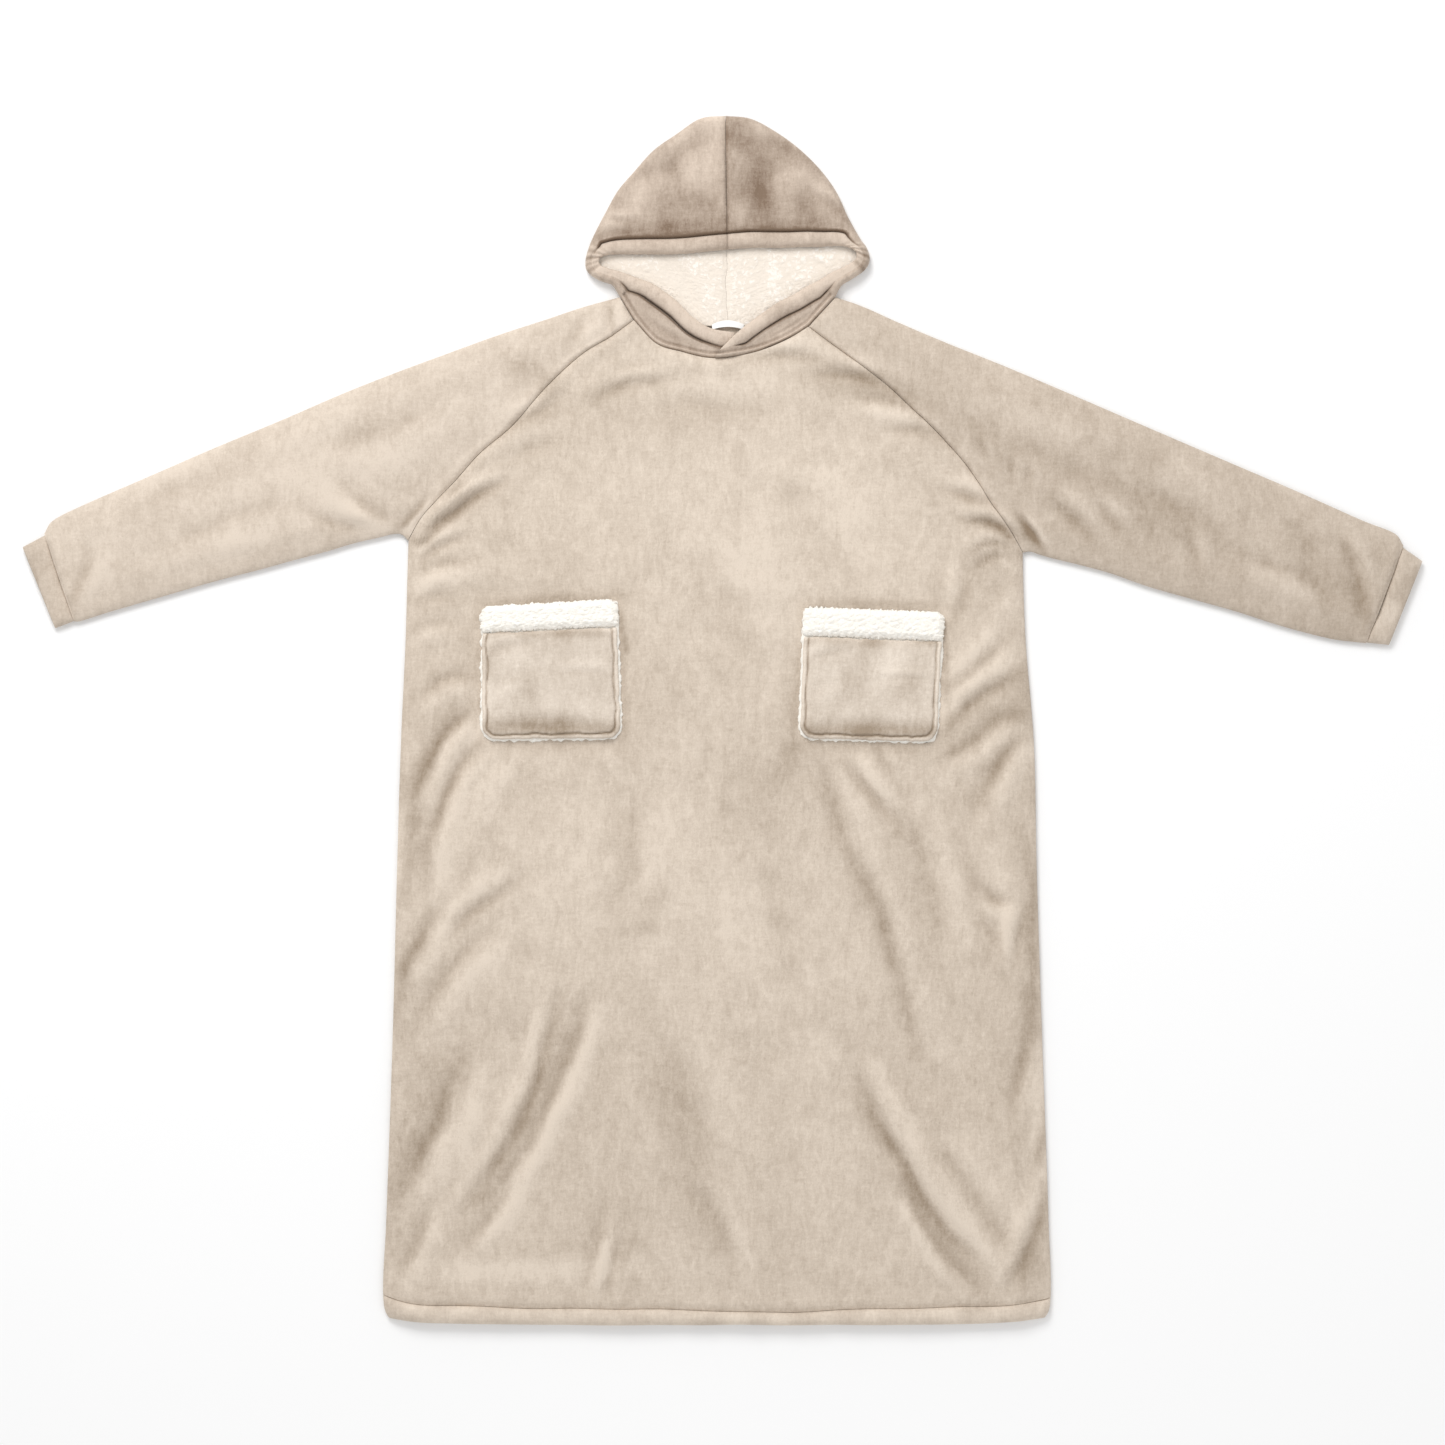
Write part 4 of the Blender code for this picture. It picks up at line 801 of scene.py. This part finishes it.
    back = at <= NECK_SECTION
    back_rim = rim[back]
    neck_centre_y = back_top_y(np.array((CENTRE_SEAM_X,)))[0] + HOOD_SHIFT
    centre = np.column_stack((np.full(back.sum(), CENTRE_SEAM_X + 0.5 * SIDE_SEAM_GAP * outward),
                              520.0 + (neck_centre_y - 520.0) * at[back] / NECK_SECTION))
    back_length = np.linalg.norm(centre - back_rim, axis=1)[:, None]
    corner = np.array((rows["rim_x"][SHOULDER_END], rows["rim_y"][SHOULDER_END] + HOOD_SHIFT))
    stops = np.linspace(0.0, 1.0, 13)[1:]
    down = (stops - stops[0]) / (1.0 - stops[0])
    arc = arc[back]
    back_share = np.hstack((arc[:, 1:] / back_length, np.tile(0.25 + 0.75 * down, (back.sum(), 1))))
    straight = back_rim[:, None] + back_share[..., None] * (centre - back_rim)[:, None]
    down_neck = (corner - back_rim[-1]) / np.linalg.norm(corner - back_rim[-1])
    neck_line = np.concatenate((back_rim[-1] + arc[-1, 1:, None] * down_neck,
                                corner + down[:, None] * (centre[-1] - corner)))
    turn = smooth((at[back] - 12.1) / 0.9)[:, None, None]
    turned = straight + turn * (neck_line - straight[-1])
    lower_rise = np.concatenate((ARC_RISE[1:], np.ones(len(stops))))
    lower = grid_of(turned[..., 0], turned[..., 1], HOOD_MID + lower_rise * (wall_inset - HOOD_MID))
    lower = np.concatenate((lower, np.repeat(lower[-1:], len(at) - back.sum(), axis=0)))
    dark = np.hstack((dark, np.repeat(dark[:, -1:], lower.shape[1], axis=1)))
    return np.concatenate((upper, lower), axis=1), dark, at, upper.shape[1] - 1


# Marks on the hood, darker or lighter below zero; those along the top of the casing, near y 522 to 530,
# are painted shade.
HOOD_MARKS = table(
    "x y long wide turn dark",
    (-42, 612, 26, 9, 35, 0.5), (-28, 556, 34, 12, -60, 0.35), (-70, 590, 44, 12, 52, -0.3),
    (-30, 528, 46, 11, 8, 0.6), (-96, 522, 34, 8, 4, 0.5), (-104, 544, 22, 10, 30, -0.3),
    (-14, 590, 8, 34, 0, -0.35), (-20, 636, 20, 10, 20, -0.4), (18, 624, 22, 10, -20, 0.35),
    (44, 556, 16, 20, 20, 0.45), (70, 596, 50, 16, -40, -0.3), (92, 530, 46, 9, 3, 0.4),
    (16, 540, 10, 26, 0, -0.2), (110, 556, 30, 10, -50, -0.25), (56, 530, 26, 8, 0, 0.2),
    (-70, 438, 34, 12, -40, 0.25), (62, 436, 30, 8, 30, 0.3), (86, 452, 20, 6, 38, 0.3))
hood_flannel = plush_flannel("hood_flannel", (0.665, 0.555, 0.46), (0.215, 0.15, 0.105), 0.16)
collar_fade = table("at dark", (0, 0.34), (6, 0.25), (10, 0.0), (13, -0.12), (19, -0.1))
for side, rows, outward in (("right", RIGHT_HOOD, -1.0), ("left", LEFT_HOOD, 1.0)):
    outer, shade, at, rim_column = hood_grid(rows, outward, 0.0)
    inner = hood_grid(rows, outward, WALL)[0]
    keep = np.ones((outer.shape[0] - 1, outer.shape[1] - 1), bool)
    keep[at[:-1] >= NECK_SECTION, rim_column:] = False
    x, y = outer[..., 0], outer[..., 1]
    shade = shade + np.interp(at, collar_fade["at"], collar_fade["dark"])[:, None]
    shade = shade + brush_shade(x, y, HOOD_MARKS) + 0.14 * ripple(x, y, 50.0, 23)
    shade = shade + 0.25 * (outward > 0) * smooth((y - 500.0) / 60.0)
    shade = shade - 0.26 * (outward < 0) * smooth((y - 530.0) / 60.0)
    shade = shade - 0.3 * (outward < 0) * smooth((x + 60.0) / 60.0) * smooth((y - 560.0) / 60.0)
    piece = cloth_wall("hood_half_" + side, outer, inner, hood_flannel, shade, keep=keep)
    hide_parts("hood_" + side)

# Inside of the hood: cream sherpa, a looped pile brushed into soft curls. It shows in the
# opening, joined along the middle, and rests on the hood's lower layer.
LINING_FLOOR = WALL + 0.3
LINING_THICK = 3.0
LINING_REACH = 5.0
LINING_HEM_Y = 423.0


def sherpa_pile(name, colour, shadow):
    """Sherpa: small rounded curls. Two sizes of cell noise give the clumps and the loops, with painted
    shade between them and the plain cream on their crowns; the mesh's shade attribute adds painted shade
    in seams and folds where a piece has it."""
    material, shader, add, link, place = start_material(
        name, Roughness=0.95, Specular_IOR_Level=0.15, Sheen_Weight=0.4, Sheen_Roughness=0.6)
    swirl = add("ShaderNodeTexNoise", Scale=130.0, Detail=2.0)
    link(place.outputs["Object"], swirl.inputs["Vector"])
    bend = add("ShaderNodeMixRGB", blend_type="ADD")
    bend.inputs["Fac"].default_value = 0.012
    link(place.outputs["Object"], bend.inputs["Color1"])
    link(swirl.outputs["Color"], bend.inputs["Color2"])
    clumps = add("ShaderNodeTexVoronoi", Scale=170.0)
    loops = add("ShaderNodeTexVoronoi", Scale=420.0)
    link(bend.outputs["Color"], clumps.inputs["Vector"])
    link(bend.outputs["Color"], loops.inputs["Vector"])
    soft = add("ShaderNodeTexNoise", Scale=26.0, Detail=3.0)
    link(place.outputs["Object"], soft.inputs["Vector"])
    height = add("ShaderNodeMath", operation="MULTIPLY_ADD")
    height.inputs[1].default_value = 0.5
    link(loops.outputs["Distance"], height.inputs[0])
    link(clumps.outputs["Distance"], height.inputs[2])
    tone_and_painted_shade_node = add("ShaderNodeAttribute", attribute_name="tone_and_painted_shade")
    curl_gaps_and_painted_shade = add("ShaderNodeMath", operation="ADD")
    link(height.outputs["Value"], curl_gaps_and_painted_shade.inputs[0])
    link(tone_and_painted_shade_node.outputs["Fac"], curl_gaps_and_painted_shade.inputs[1])
    tone = add("ShaderNodeMath", operation="MULTIPLY_ADD")
    tone.inputs[1].default_value = 0.55
    link(soft.outputs["Fac"], tone.inputs[0])
    link(curl_gaps_and_painted_shade.outputs["Value"], tone.inputs[2])
    colours = add("ShaderNodeValToRGB")
    colours.color_ramp.elements[0].position = 0.55
    colours.color_ramp.elements[0].color = (*colour, 1.0)
    colours.color_ramp.elements[1].position = 1.0
    colours.color_ramp.elements[1].color = (*shadow, 1.0)
    link(tone.outputs["Value"], colours.inputs["Fac"])
    link(colours.outputs["Color"], shader.inputs["Base Color"])
    bump = add("ShaderNodeBump", Strength=0.3, Distance=0.0018, invert=True)
    link(height.outputs["Value"], bump.inputs["Height"])
    link(bump.outputs["Normal"], shader.inputs["Normal"])
    return material


def curls(x, y, seed):
    """Height of the sherpa's curls, from 0 to about 1: two crossing swells of a few
    millimetres, folded up so that their crests are round and their gaps narrow."""
    coarse = np.abs(ripple(x, y, 11.0, seed))
    fine = np.abs(ripple(x, y, 5.2, seed + 1))
    return np.clip(0.62 * coarse ** 0.6 + 0.38 * fine ** 0.6, 0.0, 1.0)


LINING_FOLDS = table(
    "x0 y0 x1 y1 bow width depth ridge side",
    (-62, 494, -26, 434, 5, 11, 1.4, 0.5, 1), (-88, 484, -70, 470, 0, 8, 0.8, 0.4, 1),
    (96, 494, 112, 478, 3, 4, 1.3, 0.8, 1), (40, 490, 34, 450, 3, 10, 0.7, 0.4, 1))


def lining_grid(rows, outward):
    """A lining half over (section, reach): a fan from the crown seam to just under the edge."""
    at = np.linspace(0.0, 18.0, 150)
    edge = edge_line(rows, ("edge_x", "edge_y"), at)
    rim = np.column_stack([hood_rim(rows, at, key) for key in ("x", "y")])
    length = np.linalg.norm(rim - edge, axis=1)
    reach = np.minimum(LINING_REACH, 0.28 * length)
    end = edge + (rim - edge) * (reach / length)[:, None]
    centre_x = CENTRE_SEAM_X + 0.1 * outward
    end[0, 0] = centre_x
    end[:, 1] = np.maximum(end[:, 1], LINING_HEM_Y)
    end[:, 0] = np.maximum(end[:, 0], centre_x) if outward > 0 else np.minimum(end[:, 0], centre_x)
    centre = np.column_stack((np.full(len(at), centre_x), np.linspace(492.0, LINING_HEM_Y, len(at))))
    share = np.linspace(0.0, 1.0, 56) ** 0.85
    place = centre[:, None] + share[:, None] * (end - centre)[:, None]
    x, y = place[..., 0], place[..., 1]
    x = x + (0.9 * np.sin(y / 11.0) + 0.5 * np.sin(y / 4.0)) * (1.0 - share) ** 4
    seam = np.exp(-((x - CENTRE_SEAM_X) / 3.4) ** 2)
    folds = fold_height(x, y, LINING_FOLDS)
    height = LINING_THICK - 1.5 * seam + folds + 1.0 * curls(x, y, 31) - 0.9
    height = np.clip(height, 0.5, 3.6) * (1.0 - 0.3 * share ** 8)
    # dark is painted shade: in the crown seam's groove, in the folds with painted highlight on their
    # ridges, and over the right half away from the seam.
    dark = 0.35 * seam - 0.55 * folds + 0.12 * (outward < 0.0) * smooth((30.0 - x) / 60.0) - 0.02
    return grid_of(x, y, LINING_FLOOR + height), grid_of(x, y, LINING_FLOOR), dark


cream_sherpa = sherpa_pile("cream_sherpa", (0.93, 0.875, 0.81), (0.80, 0.72, 0.63))
for side, rows, outward in (("right", RIGHT_HOOD, -1.0), ("left", LEFT_HOOD, 1.0)):
    outer, inner, shade = lining_grid(rows, outward)
    piece = cloth_wall("hood_sherpa_" + side, outer, inner, cream_sherpa, shade)
    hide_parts("hood_lining_" + side)

# Label: a small tab of smooth white tape at the back of the neck, left blank.
LABEL_WIDTH = 34.0
LABEL_DEPTH = 9.0


def woven_tape():
    """Smooth white tape with a fine rib across it."""
    material, shader, add, link, place = start_material("woven_tape", Roughness=0.5)
    rib = add("ShaderNodeTexWave", Scale=620.0, Distortion=0.2)
    link(place.outputs["Object"], rib.inputs["Vector"])
    tone = add("ShaderNodeValToRGB")
    tone.color_ramp.elements[0].color = (0.90, 0.89, 0.87, 1.0)
    tone.color_ramp.elements[1].color = (0.96, 0.96, 0.95, 1.0)
    link(rib.outputs["Fac"], tone.inputs["Fac"])
    link(tone.outputs["Color"], shader.inputs["Base Color"])
    bump = add("ShaderNodeBump", Strength=0.2, Distance=0.0003)
    link(rib.outputs["Fac"], bump.inputs["Height"])
    link(bump.outputs["Normal"], shader.inputs["Normal"])
    return material


across = np.linspace(-1.0, 1.0, 41)
up = np.linspace(0.0, 1.0, 9)[:, None]
label_y = LINING_HEM_Y - 1.0 + up * (LABEL_DEPTH - 2.0 - 1.5 * across ** 2) - 3.0 * across ** 2
label_x = CENTRE_SEAM_X + 1.5 + 0.5 * LABEL_WIDTH * across
label_z = LINING_FLOOR + LINING_THICK + 0.75 + 0.3 * np.sin(2.2 * across) * up
label = cloth_wall("blank_label", grid_of(label_x, label_y, label_z + 0.5),
                   grid_of(label_x, label_y, label_z), woven_tape())
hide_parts("neck_label")

# Pockets: square patches of the same flannel with its sherpa behind. The sherpa shows as a
# ragged cream edge beyond the stitched seam, and the top is turned down so that a band of
# sherpa faces out.
POCKET_FLANGE = 2.2
POCKET_LINING = 2.4
POCKET_FACE = 3.0
POCKET_PUFF = 2.4
BAND_THICK = 6.0
STITCH_INSET = 5.0
RIGHT_BAND_START = 0.815
LEFT_BAND_START = 0.79


def pocket_grid(corners, start, end, grow, rows, columns, low_round, high_round):
    """Points over a pocket between two shares of its height, from the bottom up: its four
    corners blended, and its sides drawn in along a quarter circle at the rounded corners."""
    top_right, top_left, low_left, low_right = np.column_stack((corners["x"], corners["y"]))
    up = np.linspace(start, end, rows)[:, None]
    across = np.linspace(0.0, 1.0, columns)
    height = np.linalg.norm(top_right - low_right)
    width = np.linalg.norm(top_left - top_right)
    narrow = 0.0
    for away, radius in ((up - start, low_round), (end - up, high_round)):
        short = np.clip(1.0 - away * height / radius, 0.0, 1.0)
        narrow = narrow + radius / width * (1.0 - np.sqrt(1.0 - 0.97 * short ** 2))
    across = narrow + across * (1.0 - 2.0 * narrow)
    across = 0.5 + (across - 0.5) * (1.0 + 2.0 * grow / width)
    up = np.broadcast_to(up, across.shape)
    low = low_right + across[..., None] * (low_left - low_right)
    high = top_right + across[..., None] * (top_left - top_right)
    return low + up[..., None] * (high - low)


def outline_distance(place, open_top):
    """Distance of each point of a grid from the nearest point of the grid's own outline,
    without its top row where the top is open."""
    outline = np.concatenate((place[0], place[:, 0], place[:, -1], place[0] if open_top else place[-1]))
    gap = np.hypot(place[..., 0, None] - outline[:, 0], place[..., 1, None] - outline[:, 1])
    return gap.min(axis=-1)


def ragged(place, amount, scale, seed):
    """Moves a grid's outermost points in and out, as a cut pile edge is uneven: the push runs
    sideways at the sides and up or down at the ends, and fades within a few millimetres."""
    low, high = place.min(axis=(0, 1)), place.max(axis=(0, 1))
    out = (2.0 * place - low - high) / (high - low)
    out = out ** 9
    out = out / (np.linalg.norm(out, axis=-1, keepdims=True) + 1e-9)
    near = smooth(1.0 - outline_distance(place, False) / 5.0)
    wave = ripple(place[..., 0], place[..., 1], scale, seed)
    wave = wave + 0.7 * ripple(place[..., 0], place[..., 1], 0.4 * scale, seed + 1)
    return place + (amount * near * wave)[..., None] * out


POCKET_CREASES = table(
    "x0 y0 x1 y1 bow width depth ridge side",
    (0.06, 0.78, 0.40, 0.86, 0.03, 0.05, 0.9, 0.8, 1), (0.20, 0.92, 0.90, 0.93, 0.02, 0.05, 0.8, 0.5, 1),
    (0.55, 0.60, 0.95, 0.58, 0.02, 0.04, 0.5, 0.5, 1), (0.10, 0.14, 0.90, 0.13, 0.02, 0.08, 0.9, 0.4, 1),
    (0.04, 0.42, 0.30, 0.60, 0.03, 0.06, 0.5, 0.5, -1))


pocket_flannel = plush_flannel("pocket_flannel", (0.80, 0.705, 0.605), (0.34, 0.265, 0.195), -0.05)
trim_sherpa = sherpa_pile("trim_sherpa", (0.985, 0.97, 0.93), (0.92, 0.88, 0.81))
for side, corners, band_start, seed in (("right", RIGHT_POCKET, RIGHT_BAND_START, 40),
                                        ("left", LEFT_POCKET, LEFT_BAND_START, 50)):
    seat = FLAT_HEIGHT + POCKET_SEAT + 0.3
    place = pocket_grid(corners, -POCKET_FLANGE / 145.0, 1.0, POCKET_FLANGE, 100, 100, 16.0, 6.0)
    place = ragged(place, 1.1, 15.0, seed)
    x, y = place[..., 0], place[..., 1]
    rounding = np.sqrt(np.clip(outline_distance(place, False) / 3.0, 0.02, 1.0))
    pile = (POCKET_LINING + 0.8 * curls(x, y, seed) - 0.5) * rounding
    piece = cloth_wall("pocket_sherpa_" + side, grid_of(x, y, seat + np.minimum(pile, 2.6)),
                       grid_of(x, y, seat), trim_sherpa)
    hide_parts("pocket_lining_" + side)

    floor = seat + POCKET_LINING + 0.3
    place = pocket_grid(corners, 0.0, band_start - 0.008, 0.0, 96, 110, 15.0, 1.0)
    place = ragged(place, 0.45, 26.0, seed + 2)
    x, y = place[..., 0], place[..., 1]
    rim_in = outline_distance(place, True)
    top_in = np.linalg.norm(place - place[-1:], axis=-1)
    share_x = (x - x.min()) / (x.max() - x.min())
    share_y = (y - y.min()) / (y.max() - y.min())
    stitch_in = STITCH_INSET + 0.8 * ripple(x, y, 40.0, seed + 9)
    bell = np.sqrt(np.sin(np.pi * np.clip((rim_in - stitch_in) / 90.0, 0.0, 0.5)))
    puff = POCKET_PUFF * bell * smooth(top_in / 14.0 + 0.35)
    creases = fold_height(share_x, share_y, POCKET_CREASES)
    puff = puff + 1.3 * creases * smooth((rim_in - 6.0) / 10.0)
    stitching = np.exp(-((rim_in - stitch_in) / 1.0) ** 2)
    flange = 0.5 * np.sqrt(np.clip(rim_in / 2.0, 0.0, 1.0)) + 0.5
    under = floor + np.maximum(puff, 0.0)
    top = under + POCKET_FACE * flange * np.clip(top_in / 2.5, 0.4, 1.0) - 1.7 * stitching
    # Painted shade on the pocket: darker along its bottom, in the stitched groove, in its creases and just
    # under the turned-down band, with painted highlight on the creases' ridges; a little lighter along its
    # outermost edge.
    shade = 0.25 * ripple(x, y, 60.0, seed + 3) + 0.85 * np.exp(-((share_y - 0.1) / 0.085) ** 2)
    shade = shade + 1.1 * stitching - 0.4 * creases - 0.35 * (rim_in < 3.4) - 0.12
    shade = shade + 0.35 * np.exp(-((share_y - 0.95) / 0.05) ** 2) * (1.0 + ripple(x, y, 50.0, seed))
    piece = cloth_wall("pocket_patch_" + side, grid_of(x, y, np.maximum(top, under + 0.8)),
                       grid_of(x, y, under), pocket_flannel, shade)
    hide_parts("pocket_" + side)

    place = pocket_grid(corners, band_start, 1.015, 2.0, 46, 170, 5.0, 10.0)
    place = ragged(place, 1.0, 6.0, seed + 5)
    x, y = place[..., 0], place[..., 1]
    rounding = np.sqrt(np.clip(outline_distance(place, False) / 6.0, 0.03, 1.0))
    pile = (BAND_THICK - 1.4 + 1.9 * curls(x, y, seed + 7)) * rounding
    piece = cloth_wall("pocket_turnback_" + side, grid_of(x, y, floor + pile),
                       grid_of(x, y, floor), trim_sherpa)
    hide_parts("pocket_band_" + side)

# Studio: a plain white table seen from straight above through a long lens, under a broad soft
# light from the garment's upper left shoulder and an even white surround.
floor_mesh = bpy.data.meshes.new("studio_floor")
floor_mesh.from_pydata([(-6, -6, -0.0002), (6, -6, -0.0002), (6, 6, -0.0002), (-6, 6, -0.0002)],
                       [], [(0, 1, 2, 3)])
studio_floor = bpy.data.objects.new("studio_floor", floor_mesh)
bpy.context.scene.collection.objects.link(studio_floor)
paper = bpy.data.materials.new("white_paper")
paper.use_nodes = True
paper.node_tree.nodes["Principled BSDF"].inputs["Base Color"].default_value = (0.93, 0.93, 0.93, 1.0)
paper.node_tree.nodes["Principled BSDF"].inputs["Roughness"].default_value = 0.9
floor_mesh.materials.append(paper)
studio_floor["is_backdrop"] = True

world = bpy.data.worlds.new("soft_surround")
bpy.context.scene.world = world
world.use_nodes = True
world.node_tree.nodes["Background"].inputs["Color"].default_value = (1.0, 1.0, 1.0, 1.0)
world.node_tree.nodes["Background"].inputs["Strength"].default_value = 0.70
for name, place, size, power in (("key", (-0.9, 2.6, 2.4), 1.5, 78.0),
                                 ("fill", (1.2, -2.4, 2.8), 2.6, 16.0)):
    lamp = bpy.data.lights.new(name, "AREA")
    lamp.energy = power
    lamp.size = size
    lamp_object = bpy.data.objects.new(name, lamp)
    lamp_object.location = place
    aim = -np.array(place)
    lamp_object.rotation_euler = (np.arctan2(np.hypot(aim[0], aim[1]), -aim[2]), 0.0,
                                  np.arctan2(-aim[0], aim[1]))
    bpy.context.scene.collection.objects.link(lamp_object)

LENS = 85.0
SENSOR = 36.0
PHOTO_WIDTH = 1.5527
camera = bpy.data.cameras.new("above")
camera.lens = LENS
camera.sensor_width = SENSOR
camera_object = bpy.data.objects.new("above", camera)
camera_object.location = (0.0, -0.0022, PHOTO_WIDTH * LENS / SENSOR)
bpy.context.scene.collection.objects.link(camera_object)
bpy.context.scene.camera = camera_object
bpy.context.scene.view_settings.view_transform = "Standard"

size = {"cad": [list(map(float, corner)) for corner in cad_box],
        "visual": [list(map(float, corner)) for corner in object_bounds()]}
